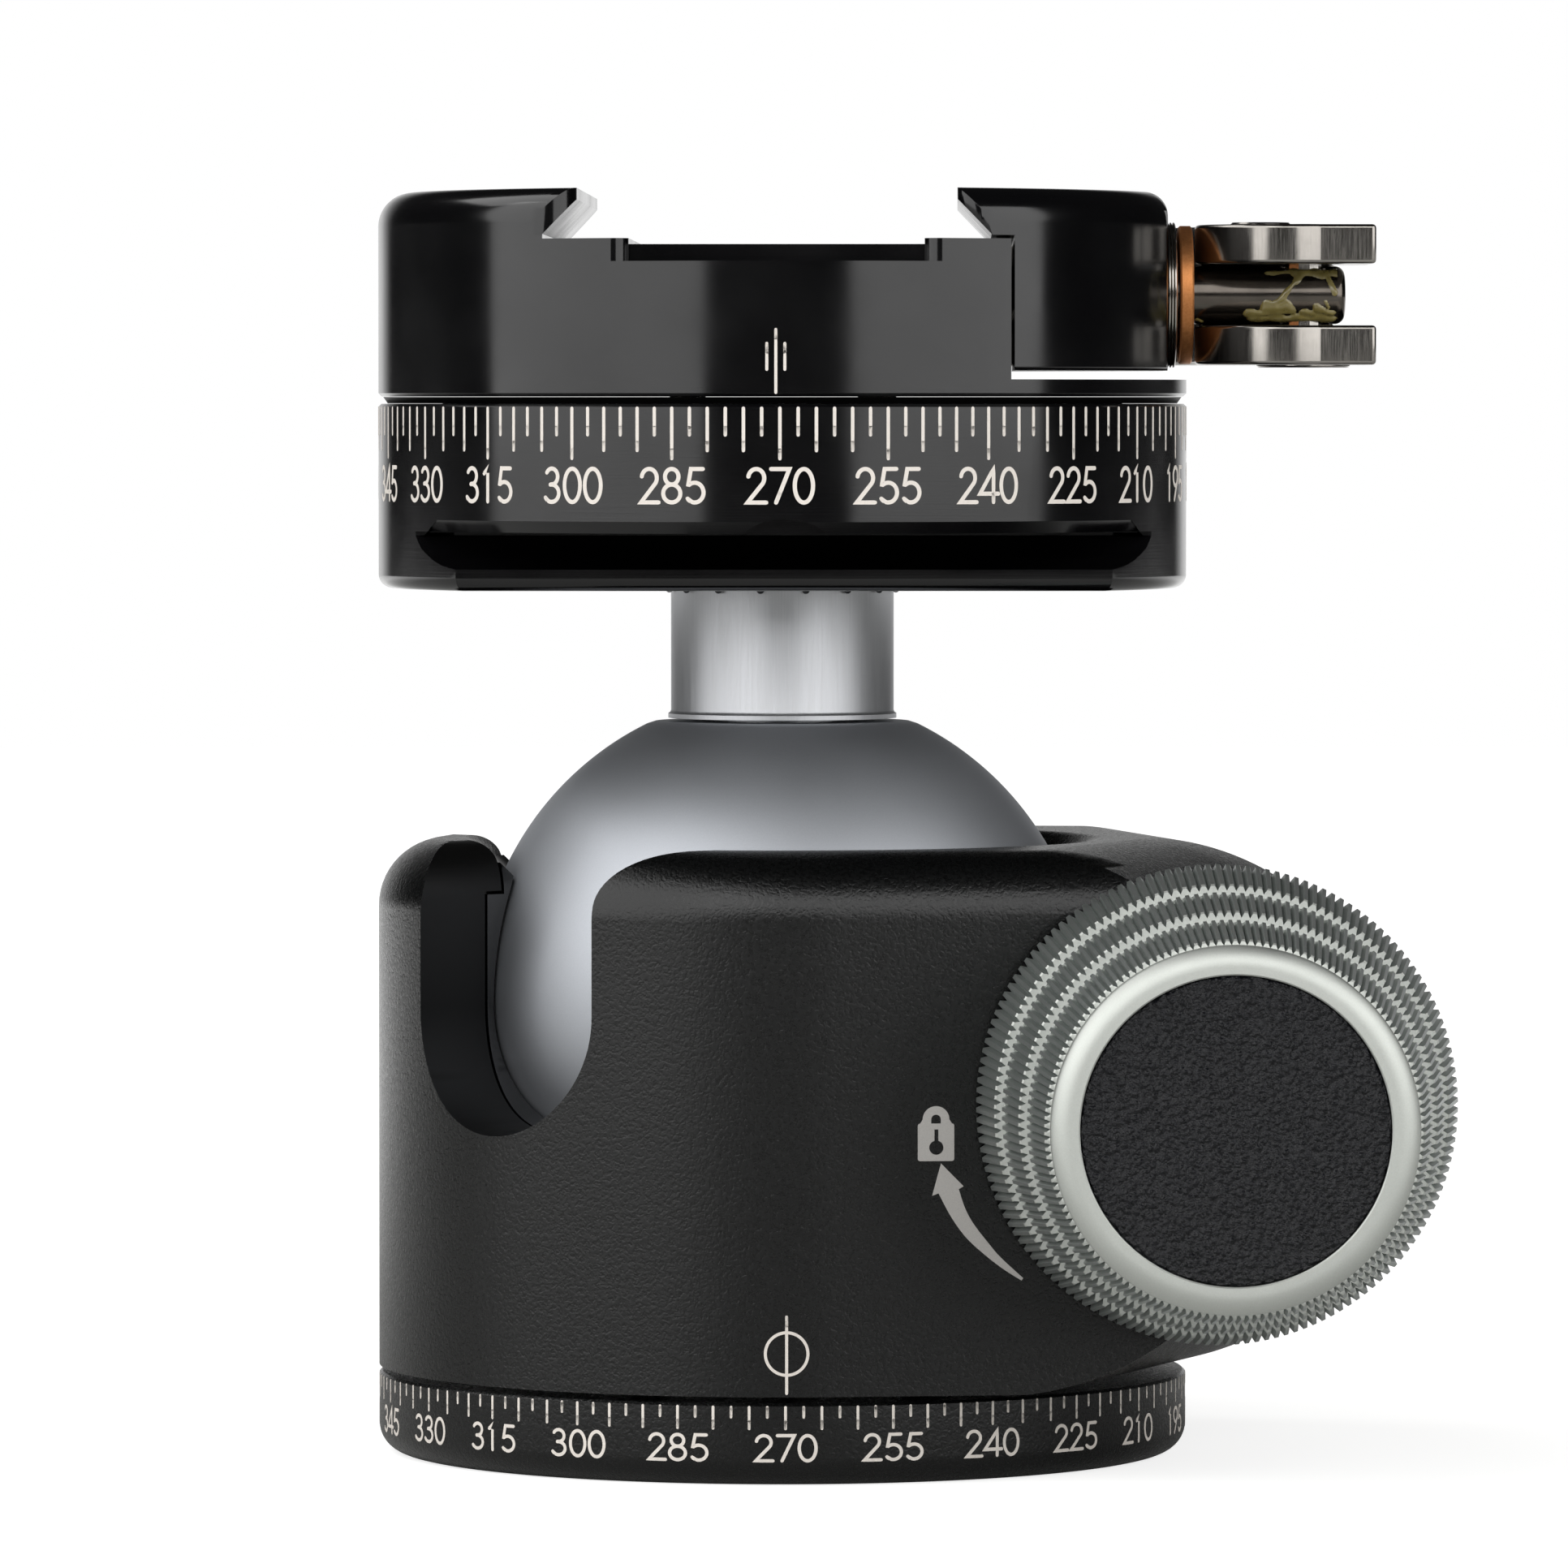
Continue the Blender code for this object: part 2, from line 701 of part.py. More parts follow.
def support_ring():
    hollow = seat_radius
    outer = bore_radius - gap
    high = seat_bottom + seat_height
    first = math.asin((seat_bottom - ball_centre_z) / hollow)
    last = math.asin((high - ball_centre_z) / hollow)
    profile = [(outer, high), (outer, seat_bottom)]
    profile += arc((0.0, ball_centre_z), hollow, first, last, 3)
    return carried(turned("support_ring", profile, black_polymer, steps=ball_steps), pan_pivot)


def ball_collar():
    hollow = seat_radius
    outer = bore_radius - gap
    neck = collar_neck
    first = math.asin((collar_bottom - ball_centre_z) / hollow)
    last = math.acos(collar_slope_radius / hollow)
    profile = [(neck, collar_neck_top), (neck, lip_ledge - gap), (outer, lip_ledge - gap),
               (outer, collar_bottom)]
    profile += arc((0.0, ball_centre_z), hollow, first, last, 6)
    collar = turned("ball_collar", profile, black_anodised, steps=ball_steps)
    cut(collar, *notch_tools)
    return carried(collar, pan_pivot)


def cotter(name, turn):
    radius = chamber_radius - gap
    bore = bolt_radius + gap
    start = cotter_half_gap
    end = start + cotter_length
    profile = [(cotter_pocket_radius, start), (radius, start), (radius, end), (bore, end),
               (bore, start + cotter_pocket_depth), (cotter_pocket_radius, start + cotter_pocket_depth)]
    piece = turned(name, profile, steel, bolt_place, turn, middle_steps)
    scallop = turned(name + "_scallop", [(0.0, housing_top), (bore_radius, housing_top),
                                         (bore_radius, housing_bottom), (0.0, housing_bottom)], None)
    return carried(cut(piece, scallop), pan_pivot)


def cross_clamp():
    cotter("front_cotter", front_turn)
    cotter("rear_cotter", rear_turn)
    length = 2.0 * (cotter_half_gap + cotter_pocket_depth - cotter_wire - gap)
    spring = coil("cotter_spring", cotter_spring_radius, cotter_wire / 2.0, length, cotter_spring_turns,
                  steel, bolt_place, rear_turn)
    carried(spring, pan_pivot)
    bore = bolt_radius + gap
    plug_start = cotter_half_gap + cotter_length + gap
    plug = turned("chamber_plug", washer_profile(bore, chamber_radius - gap, plug_start, barrel_face),
                  black_anodised, bolt_place, front_turn, middle_steps)
    carried(plug, pan_pivot)
    thrust_start = barrel_face + gap
    thrust = turned("thrust_washer", washer_profile(bore, thrust_outer, thrust_start,
                    thrust_start + thrust_thickness), bronze, bolt_place, front_turn, middle_steps)
    carried(thrust, pan_pivot)


def knob_side():
    # the knob's side from back to front: three tapered bands, the grooves between them, the rounded rim
    points = []
    start = knob_back
    for back, front in zip(band_back_radii, band_front_radii):
        if points:
            points += [(back - groove_depth, start - groove_width), (back - groove_depth, start)]
        points += [(back, start), (front, start + band_length)]
        start += band_length + groove_width
    outer, band_end = points[-1]
    for x, y in arc((0.0, 0.0), 1.0, 0.0, math.pi / 2.0, 3)[1:]:
        points.append((outer - bezel_round * (1.0 - x), band_end + bezel_length * y))
    return points


def main_knob():
    side = knob_side()
    face = side[-1][1]
    cap_seat = face - cap_inset - cap_depth - gap
    screw_seat = cap_seat - knob_screw_height - gap
    web_back = screw_seat - knob_web
    knob_seat = barrel_face + gap + thrust_thickness + gap
    bore = bolt_radius + gap
    shank = knob_screw_shank + gap
    head = knob_screw_radius + gap
    profile = [(bore, knob_seat), (bore, web_back), (shank, web_back), (shank, screw_seat),
               (head, screw_seat), (head, cap_seat), (cap_radius + gap, cap_seat), (cap_radius + gap, face)]
    profile += list(reversed(side))
    profile += [(knob_seat_radius, knob_back), (knob_seat_radius, knob_seat)]
    turned("main_knob", profile, silver_anodised, bolt_place, front_turn, ball_steps)
    front = face - cap_inset
    cap = [(0.0, front), (cap_radius, front), (cap_radius, cap_seat + gap), (0.0, cap_seat + gap)]
    turned("knob_cap", cap, cap_skin, bolt_place, front_turn, middle_steps)
    bolt_end = web_back - gap
    hole_end = bolt_end - knob_screw_reach
    rear_end = gap - chamber_rear
    bolt = [(0.0, hole_end), (shank, hole_end), (shank, bolt_end), (bolt_radius, bolt_end),
            (bolt_radius, rear_end), (0.0, rear_end)]
    turned("main_bolt", bolt, steel, bolt_place, front_turn, small_steps)
    head_low = screw_seat + gap
    head_high = screw_seat + knob_screw_height
    socket_floor = head_high - screw_socket_depth
    screw = [(0.0, socket_floor), (screw_socket_radius, socket_floor), (screw_socket_radius, head_high),
             (knob_screw_radius, head_high), (knob_screw_radius, head_low), (knob_screw_shank, head_low),
             (knob_screw_shank, hole_end + gap), (0.0, hole_end + gap)]
    turned("knob_screw", screw, steel, bolt_place, front_turn, small_steps)


def fluted(radius):
    points = []
    count = flute_count * 4
    for index in range(count):
        angle = math.radians(360.0) * index / count
        inset = flute_depth if index % 4 > 1 else 0.0
        points.append(((radius - inset) * math.cos(angle), (radius - inset) * math.sin(angle)))
    return points


def lock_set(name, height, sizes, shoe_name, shoe_start, carrier):
    # a small knob on a screw that pushes a shoe straight inward from the rear
    radius, length = sizes
    place = (0.0, 0.0, height)
    start = body_radius + lock_knob_clearance
    end = start + length
    outline = fluted(radius)
    waist_share = (radius - knob_edge) / radius
    layers = ((waist_share, start), (1.0, start + knob_edge), (1.0, end - knob_face_edge),
              (waist_share, end))
    rings = [[(x * share, y * share, z) for x, y in outline] for share, z in layers]
    knob = bridged(name + "_knob", rings, black_anodised, place, rear_turn)
    grip_depth = start + length / 2.0
    screw_start = shoe_start + lock_shoe_length + gap
    cut(knob, rod_tool(name + "_knob_bore", lock_screw_radius + gap, start - overrun, grip_depth, place,
                       rear_turn))
    screw = rod_tool(name + "_screw", lock_screw_radius, screw_start, grip_depth - gap, place, rear_turn)
    screw.data.materials.append(steel)
    shoe = rod_tool(shoe_name, lock_screw_radius, shoe_start, shoe_start + lock_shoe_length, place, rear_turn)
    shoe.data.materials.append(bronze)
    for piece in (knob, screw, shoe):
        carried(piece, carrier)


def ball_group():
    flat = ball_flat_height
    flat_radius = math.sqrt(ball_radius ** 2 - flat ** 2)
    socket = stem_spigot_radius + gap
    floor = flat - stem_spigot_length - gap
    profile = [(0.0, floor), (socket, floor), (socket, flat)]
    last = math.asin(flat / ball_radius)
    profile += arc((0.0, 0.0), ball_radius, last, -math.pi / 2.0, 12)
    profile[-1] = (0.0, -ball_radius)
    profile[3] = (flat_radius, flat)
    ball = turned("ball", profile, grey_anodised, (0.0, 0.0, ball_centre_z), steps=ball_steps)
    carried(ball, ball_pivot)
    foot = stem_foot
    top = stem_top
    spigot = foot - stem_spigot_length
    bore = stem_bolt_radius + gap
    bore_floor = top - stem_bolt_reach - gap
    flare = stem_radius + stem_foot_flare
    rise = foot + stem_foot_height
    profile = [(0.0, bore_floor), (bore, bore_floor), (bore, top), (stem_radius, top),
               (stem_radius, rise + stem_foot_flare), (flare, rise), (flare, foot),
               (stem_spigot_radius, foot), (stem_spigot_radius, spigot), (0.0, spigot)]
    carried(turned("stem", profile, bare_aluminium, steps=ball_steps), ball_pivot)
    seat = cavity_floor + gap
    sizes = (stem_bolt_radius, seat - top + stem_bolt_reach, stem_bolt_head_radius, stem_bolt_head_height,
             stem_bolt_socket_radius, stem_bolt_socket_depth)
    carried(socket_screw("stem_bolt", sizes, (0.0, 0.0, seat), (0.0, 0.0, 0.0), steel), ball_pivot)


def tooth_washer():
    low = stem_top + gap
    high = low + tooth_washer_thickness
    tooth_inner = stem_radius + gap
    tooth_outer = tooth_inner + tooth_thickness
    washer = turned("tooth_washer", washer_profile(stem_bolt_radius + 2.0 * gap, tooth_outer, low, high),
                    black_anodised, steps=middle_steps)
    teeth = []
    bottom = dial_bottom - tooth_reach
    for index in range(tooth_count):
        tooth = box_tool("tooth_%d" % index, (tooth_inner, -tooth_width / 2.0, bottom),
                         (tooth_outer - gap / 6.0, tooth_width / 2.0, high - gap))
        tooth.rotation_euler = (0.0, 0.0, math.radians(360.0) * (index + 0.5) / tooth_count)
        teeth.append(tooth)
    combined(washer, gathered("washer_teeth", teeth), "UNION")
    return carried(washer, ball_pivot)


def rail_relief(name, side):
    # the dovetail's relief beside the rail, with a turned chamfer where its ceiling meets the rim
    flare = body_radius + overrun
    chamfer_start = body_radius - ceiling_chamfer
    low = dial_bottom - overrun
    profile = [(0.0, rail_ceiling), (chamfer_start, rail_ceiling),
               (flare, rail_ceiling + flare - chamfer_start), (flare, low), (0.0, low)]
    relief = turned(name, profile, None)
    far = body_radius + 2.0 * overrun
    lip_top = dial_bottom + rail_lip_height
    high = rail_ceiling + 2.0 * overrun
    deep = low - overrun
    lip = rail_half_width - rail_lip_round
    flank = [(lip, deep), (far, deep), (far, high), (rail_neck_half_width, high)]
    for inward, upward in reversed(rail_flank_shares):
        flank.append((rail_half_width - rail_undercut * inward, lip_top + rail_flank_rise * upward))
    flank += arc((lip, dial_bottom + rail_lip_round), rail_lip_round, 0.0, -math.pi / 2.0, 3)
    outline = [(-z, side * y) for y, z in flank]
    form = extruded(name + "_form", outline, -far, far, None, turn=right_turn)
    return combined(relief, form, "INTERSECT")


def dial_base():
    corner = arc((body_radius - dial_corner, dial_bottom + dial_corner), dial_corner, 0.0, -math.pi / 2.0, 3)
    glide_floor = dial_top - glide_sink
    seat = ring_seat
    profile = [(cavity_radius, cavity_floor), (cavity_radius, seat), (ring_outer_radius + gap, seat),
               (ring_outer_radius + gap, dial_top), (glide_inner - gap, dial_top),
               (glide_inner - gap, glide_floor), (glide_outer + gap, glide_floor),
               (glide_outer + gap, dial_top), (body_radius - rim_chamfer, dial_top),
               (body_radius, dial_top - rim_chamfer)]
    profile += corner
    recess = stem_radius + 2.0 * gap + tooth_thickness + gap
    recess_top = dial_bottom + stem_seat_depth
    bore = stem_bolt_radius + gap
    profile += [(recess, dial_bottom), (recess, recess_top), (bore, recess_top), (bore, cavity_floor)]
    base = turned("dial_base", profile, black_anodised)
    cut(base, rail_relief("rail_relief_front", -1.0), rail_relief("rail_relief_rear", 1.0))
    cut(base, rod_tool("clamp_lock_bore", lock_screw_radius + gap, cavity_radius - overrun,
                       body_radius + overrun, (0.0, 0.0, clamp_lock_z), rear_turn))
    for index, spot in enumerate(ring_screw_spots):
        cut(base, rod_tool("ring_hole_%d" % index, ring_screw_radius + gap, seat - ring_screw_length,
                           seat + overrun, spot, (0.0, 0.0, 0.0)))
    return carried(base, ball_pivot)


def dial_trim():
    low = dial_top - ring_thickness
    high = dial_top - gap
    ring = turned("dial_cover_ring", washer_profile(ring_inner_radius, ring_outer_radius, low, high),
                  bare_aluminium, steps=middle_steps)
    head = ring_screw_radius * ring_head_scale
    sink = ring_thickness / 3.0
    for index, spot in enumerate(ring_screw_spots):
        hole = turned("cover_hole_%d" % index,
                      [(0.0, high + overrun), (head + gap, high + overrun), (head + gap, high - sink - gap),
                       (ring_screw_radius + gap, high - sink - gap), (ring_screw_radius + gap, low - overrun),
                       (0.0, low - overrun)], None, spot, steps=small_steps)
        cut(ring, hole)
        reach = high - sink - low + ring_screw_length - 2.0 * gap
        profile = [(0.0, high), (head, high), (head, high - sink), (ring_screw_radius, high - sink),
                   (ring_screw_radius, high - sink - reach), (0.0, high - sink - reach)]
        carried(turned("cover_screw_%d" % index, profile, steel, spot, steps=small_steps), ball_pivot)
    carried(ring, ball_pivot)
    glide_low = dial_top - glide_sink + gap
    glide = turned("dial_glide_ring", washer_profile(glide_inner + gap, glide_outer, glide_low, clamp_bottom - gap),
                   white_polymer, steps=middle_steps)
    carried(glide, ball_pivot)


def clamp_disc(name, low, finish):
    crown = arc((body_radius - clamp_round, clamp_top - clamp_round), clamp_round, math.pi / 2.0, 0.0, 4)
    profile = [(0.0, clamp_top)] + crown
    profile += [(body_radius, low + clamp_chamfer), (body_radius - clamp_chamfer, low), (0.0, low)]
    return turned(name, profile, finish)


def along_y(name, outline):
    # outline in (x, z), run right through the head from front to rear
    far = body_radius + overrun
    flipped = [(x, z) for x, z in outline]
    return extruded(name, flipped, -far, far, None, turn=front_turn)


def clamp_body():
    body = clamp_disc("clamp_body", clamp_bottom, black_anodised)
    high = clamp_top + overrun
    far = body_radius + overrun
    tip_z = clamp_top - tip_height
    foot_x = -fixed_tip_x - dovetail_depth
    channel = [(-fixed_tip_x, high), (-fixed_tip_x, tip_z), (foot_x, tip_z - dovetail_rise),
               (foot_x, deck_z), (parting_x, deck_z), (parting_x, flange_top), (far, flange_top), (far, high)]
    cut(body, along_y("clamp_channel", channel))
    half = deck_relief_half_width
    cut(body, box_tool("deck_relief", (-half, -far, deck_z - deck_relief_depth), (half, far, high)))
    for name, side in (("deck_notch_front", -1.0), ("deck_notch_rear", 1.0)):
        near, rim = sorted((side * deck_notch_start, side * far))
        cut(body, box_tool(name, (-half, near, deck_z - deck_notch_depth), (half, rim, high)))
    cut(body, rod_tool("rod_bore", rod_radius + gap, -rod_start_x - gap, parting_x + overrun,
                       (0.0, 0.0, rod_z), right_turn))
    for index, side in enumerate((-1.0, 1.0)):
        spot = (0.0, side * guide_y, guide_z)
        pocket = parting_x - spring_pocket_depth
        tool = turned("guide_bore_%d" % index,
                      [(0.0, parting_x + overrun), (jaw_spring_radius + 2.0 * gap, parting_x + overrun),
                       (jaw_spring_radius + 2.0 * gap, pocket), (guide_radius + gap, pocket),
                       (guide_radius + gap, guide_start_x - gap), (0.0, guide_start_x - gap)],
                      None, spot, right_turn, small_steps)
        cut(body, tool)
    seat = clamp_screw_seat - gap
    for index, spot in enumerate(clamp_screw_spots):
        tool = turned("clamp_screw_bore_%d" % index,
                      [(0.0, high), (clamp_screw_head_radius + gap, high),
                       (clamp_screw_head_radius + gap, seat), (clamp_screw_radius + gap, seat),
                       (clamp_screw_radius + gap, clamp_bottom - overrun), (0.0, clamp_bottom - overrun)],
                      None, spot, steps=small_steps)
        cut(body, tool)
    return carried(body, clamp_pivot)


def clamp_inside():
    flange_low = spindle_bottom
    flange_high = spindle_flange_top
    top = clamp_bottom - gap
    profile = [(spindle_radius, top), (spindle_radius, flange_high), (spindle_flange_radius, flange_high),
               (spindle_flange_radius, flange_low), (spindle_bore, flange_low), (spindle_bore, top)]
    spindle = turned("clamp_spindle", profile, steel, steps=middle_steps)
    head_seat = clamp_screw_seat
    length = head_seat - clamp_bottom + clamp_screw_reach
    sizes = (clamp_screw_radius, length, clamp_screw_head_radius, clamp_screw_head_height,
             screw_socket_radius, screw_socket_depth)
    for index, (x, y, _) in enumerate(clamp_screw_spots):
        screw = socket_screw("clamp_screw_%d" % index, sizes, (x, y, head_seat), (0.0, 0.0, 0.0), steel)
        carried(screw, clamp_pivot)
        cut(spindle, rod_tool("spindle_hole_%d" % index, clamp_screw_radius + gap,
                              clamp_bottom - clamp_screw_reach - gap, top + overrun, (x, y, 0.0),
                              (0.0, 0.0, 0.0)))
    carried(spindle, clamp_pivot)
    edge = rod_radius - rod_chamfer
    profile = [(0.0, rod_end_x), (edge, rod_end_x), (rod_radius, rod_end_x - rod_chamfer),
               (rod_radius, -rod_start_x), (0.0, -rod_start_x)]
    rod = turned("draw_rod", profile, steel, (0.0, 0.0, rod_z), right_turn, small_steps)
    cut(rod, rod_tool("rod_pin_hole", pin_radius + gap, rod_z - rod_radius - overrun,
                      rod_z + rod_radius + overrun, (pin_x, 0.0, 0.0), (0.0, 0.0, 0.0)))
    carried(rod, clamp_pivot)
    pin = rod_tool("lever_pin", pin_radius, lever_bottom + pin_proud, lever_top + pin_proud,
                   (pin_x, 0.0, 0.0), (0.0, 0.0, 0.0))
    pin.data.materials.append(steel)
    carried(pin, clamp_pivot)
    for index, side in enumerate((-1.0, 1.0)):
        spot = (0.0, side * guide_y, guide_z)
        pin = rod_tool("jaw_guide_pin_%d" % index, guide_radius, guide_start_x, guide_end_x, spot, right_turn)
        pin.data.materials.append(steel)
        carried(pin, clamp_pivot)


def jaw_springs():
    # compression springs round the guide pins, which push the jaw open
    length = spring_pocket_depth - 2.0 * gap
    middle = parting_x - spring_pocket_depth / 2.0
    for index, side in enumerate((-1.0, 1.0)):
        spring = coil("jaw_spring_%d" % index, jaw_spring_radius - jaw_spring_wire / 2.0 + gap / 3.0,
                      jaw_spring_wire / 2.0, length - 2.0 * jaw_spring_wire, jaw_spring_turns, steel,
                      (middle, side * guide_y, guide_z), right_turn)
        carried(spring, clamp_pivot)


def moving_jaw():
    low = flange_top + jaw_lift
    jaw = clamp_disc("moving_jaw", low, black_anodised)
    high = clamp_top + overrun
    tip_z = clamp_top - tip_height
    foot_x = jaw_tip_x + dovetail_depth
    under = deck_z + gap
    crown = arc((jaw_end_x - jaw_end_round, clamp_top - jaw_end_round), jaw_end_round, 0.0, math.pi / 2.0, 4)
    outline = [(jaw_tip_x, high), (jaw_tip_x, tip_z), (foot_x, tip_z - dovetail_rise), (foot_x, under),
               (parting_x + gap, under), (parting_x + gap, low - overrun), (jaw_end_x, low - overrun)]
    outline += crown
    outline += [(jaw_end_x - jaw_end_round, high)]
    combined(jaw, along_y("jaw_form", outline), "INTERSECT")
    cut(jaw, rod_tool("jaw_rod_bore", rod_radius + gap, parting_x - overrun, jaw_end_x + overrun,
                      (0.0, 0.0, rod_z), right_turn))
    for index, side in enumerate((-1.0, 1.0)):
        cut(jaw, rod_tool("jaw_guide_bore_%d" % index, guide_radius + gap, parting_x - overrun,
                          guide_end_x + gap, (0.0, side * guide_y, guide_z), right_turn))
    carried(jaw, clamp_pivot)
    start = steel_washer_x
    middle = start + steel_washer_thickness / 2.0
    end = start + steel_washer_thickness
    bore = rod_radius + gap
    groove = steel_washer_radius - steel_washer_groove
    profile = [(bore, end), (steel_washer_radius, end), (groove, middle), (steel_washer_radius, start),
               (bore, start)]
    place = (0.0, 0.0, rod_z)
    carried(turned("steel_washer", profile, steel, place, right_turn, middle_steps), clamp_pivot)
    start = bronze_washer_x
    end = start + bronze_washer_thickness
    profile = washer_profile(bore, bronze_washer_radius, start, end)
    carried(turned("bronze_washer", profile, bronze, place, right_turn, middle_steps), clamp_pivot)


def lever_outline():
    # plan of the lever: cam, front flat, rounded end, then the handle that hugs the clamp
    points = arc((cam_centre_x, 0.0), cam_radius, math.pi, cam_end_angle, 9)
    points += arc((ear_end_x - ear_corner, -ear_front_y + ear_corner), ear_corner,
                  -math.pi / 2.0, 0.0, 3)
    points.append((ear_end_x, ear_rear_y))
    web_radius = math.hypot(web_end_x, web_end_y)
    web_angle = math.atan2(web_end_y, web_end_x)
    outer = []
    inner = []
    for index in range(handle_steps + 1):
        share = index / handle_steps
        angle = web_angle + (handle_end_angle - web_angle) * share
        radius = handle_outer_radius + (web_radius - handle_outer_radius) * (1.0 - share) ** 3
        outer.append((radius * math.cos(angle), radius * math.sin(angle)))
        angle = handle_start_angle + (handle_end_angle - handle_start_angle) * share
        radius = handle_inner_radius + handle_flare * share ** 4
        inner.append((radius * math.cos(angle), radius * math.sin(angle)))
    return points + outer + list(reversed(inner))


def release_lever():
    outline = [(x - pin_x, y) for x, y in lever_outline()]
    lever = extruded("release_lever", outline, lever_bottom, lever_top, steel, (pin_x, 0.0, 0.0))
    slot = box_tool("lever_slot", (jaw_end_x, -body_radius, rod_z - lever_slot_half),
                    (ear_end_x + overrun, lever_slot_end, rod_z + lever_slot_half))
    hole = rod_tool("lever_pin_bore", pin_radius + gap, lever_bottom - overrun, lever_top + overrun,
                    (pin_x, 0.0, 0.0), (0.0, 0.0, 0.0))
    return cut(lever, slot, hole)


base_plate()
thread_insert()
base_screws()
pan_drum()
pan_washers()
pan_nut()
housing()
floor_ring()
wave_spring()
support_ring()
ball_collar()
cross_clamp()
main_knob()
lock_set("pan_lock", pan_lock_z, (pan_lock_radius, pan_lock_length), "pan_lock_shoe",
         nut_outer_radius + gap, pan_pivot)
lock_set("friction", friction_z, (friction_radius, friction_length), "friction_pad",
         bore_radius, pan_pivot)
ball_group()
tooth_washer()
dial_base()
dial_trim()
lock_set("clamp_lock", clamp_lock_z, (clamp_lock_radius, clamp_lock_length), "clamp_lock_shoe",
         spindle_flange_radius + gap, ball_pivot)
clamp_body()
clamp_inside()
jaw_springs()
moving_jaw()
release_lever()
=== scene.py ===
# Looks of a tripod ball head: panning base, notched housing, side locking knob and lever-release clamp.
# Sizes are in millimetres here, and each mesh is turned to metres when it becomes a piece.
# The front faces -Y. The locking knob and the lever are on the right, +X.
import json
import math

import bmesh
import bpy
from mathutils import Matrix, Vector


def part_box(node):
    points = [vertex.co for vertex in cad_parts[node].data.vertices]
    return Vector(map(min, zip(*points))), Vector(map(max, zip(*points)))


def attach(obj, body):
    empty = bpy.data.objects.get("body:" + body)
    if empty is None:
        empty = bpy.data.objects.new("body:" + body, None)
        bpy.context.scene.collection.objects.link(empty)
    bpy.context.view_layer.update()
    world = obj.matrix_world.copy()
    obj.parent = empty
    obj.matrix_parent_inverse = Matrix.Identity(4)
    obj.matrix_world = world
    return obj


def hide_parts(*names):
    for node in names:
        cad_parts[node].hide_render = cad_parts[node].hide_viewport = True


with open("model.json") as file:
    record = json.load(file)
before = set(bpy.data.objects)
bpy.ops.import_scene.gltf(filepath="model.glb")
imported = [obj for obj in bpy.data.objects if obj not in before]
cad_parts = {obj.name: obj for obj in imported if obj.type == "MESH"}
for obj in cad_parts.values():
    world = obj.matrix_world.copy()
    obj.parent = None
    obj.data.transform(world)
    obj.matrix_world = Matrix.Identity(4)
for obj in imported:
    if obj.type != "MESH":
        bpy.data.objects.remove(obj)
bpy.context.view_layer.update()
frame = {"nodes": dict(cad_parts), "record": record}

mm = 0.001
circleSteps = 192
inkLift = 0.02  # how far printed marks stand over what carries them
inkSink = 0.06  # and how far they reach into it
slack = 0.3  # the gap that touching parts keep
past = 2.0  # how far a cutting tool runs past what it cuts
rearScrewBore = 2.5  # of the three small knobs at the rear


def nodeBox(name):
    low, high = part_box(name)
    return low / mm, high / mm


def middleZ(name):
    low, high = nodeBox(name)
    return (low.z + high.z) / 2.0


# Driving sizes, read from the frame
plateHigh = nodeBox("base_plate")[1]
bodyRadius = round(plateHigh.x, 2)
plateTop = plateHigh.z
housingLow, housingHigh = nodeBox("housing")
housingBottom, housingTop = housingLow.z, housingHigh.z
ballLow, ballHigh = nodeBox("ball")
ballRadius = round((ballHigh.x - ballLow.x) / 2.0, 2)
ballFlat = ballHigh.z
ballCentre = ballLow.z + ballRadius
stemLow, stemHigh = nodeBox("stem")
dialLow, dialHigh = nodeBox("dial_base")
dialBottom, dialTop = dialLow.z, dialHigh.z
clampLow, clampHigh = nodeBox("clamp_body")
clampBottom, clampTop = clampLow.z, clampHigh.z
rodLow, rodHigh = nodeBox("draw_rod")
rodZ = (rodLow.z + rodHigh.z) / 2.0
leverLow, leverHigh = nodeBox("release_lever")
far = bodyRadius + past
# The bore round the ball, and the bolt of the locking knob beside and below it
boreSizes = {"gap": 1.3, "boltOut": 8.7, "boltDrop": 7.45}
boreRadius = ballRadius + boreSizes["gap"]
boltX = boreRadius + boreSizes["boltOut"]
boltZ = ballCentre - boreSizes["boltDrop"]
print("frame read")


def arcPoints(centre, radius, first, last, steps):
    # angles in degrees, anticlockwise from the first axis
    points = []
    for index in range(steps + 1):
        angle = math.radians(first + (last - first) * index / steps)
        points.append((centre[0] + radius * math.cos(angle), centre[1] + radius * math.sin(angle)))
    return points


def placement(x=0.0, y=0.0, z=0.0, turnX=0.0, turnY=0.0):
    turn = Matrix.Rotation(math.radians(turnY), 4, "Y") @ Matrix.Rotation(math.radians(turnX), 4, "X")
    return Matrix.Translation((x, y, z)) @ turn


def addObject(name, data):
    added = bpy.data.objects.new(name, data)
    bpy.context.scene.collection.objects.link(added)
    return added


def newSolid(bm, name, at=None):
    # an object in millimetres, used as it is or as a tool
    if at is not None:
        bm.transform(at)
    bmesh.ops.recalc_face_normals(bm, faces=bm.faces[:])
    if bm.calc_volume(signed=True) < 0.0:
        bmesh.ops.reverse_faces(bm, faces=bm.faces[:])
    mesh = bpy.data.meshes.new(name)
    bm.to_mesh(mesh)
    bm.free()
    return addObject(name, mesh)


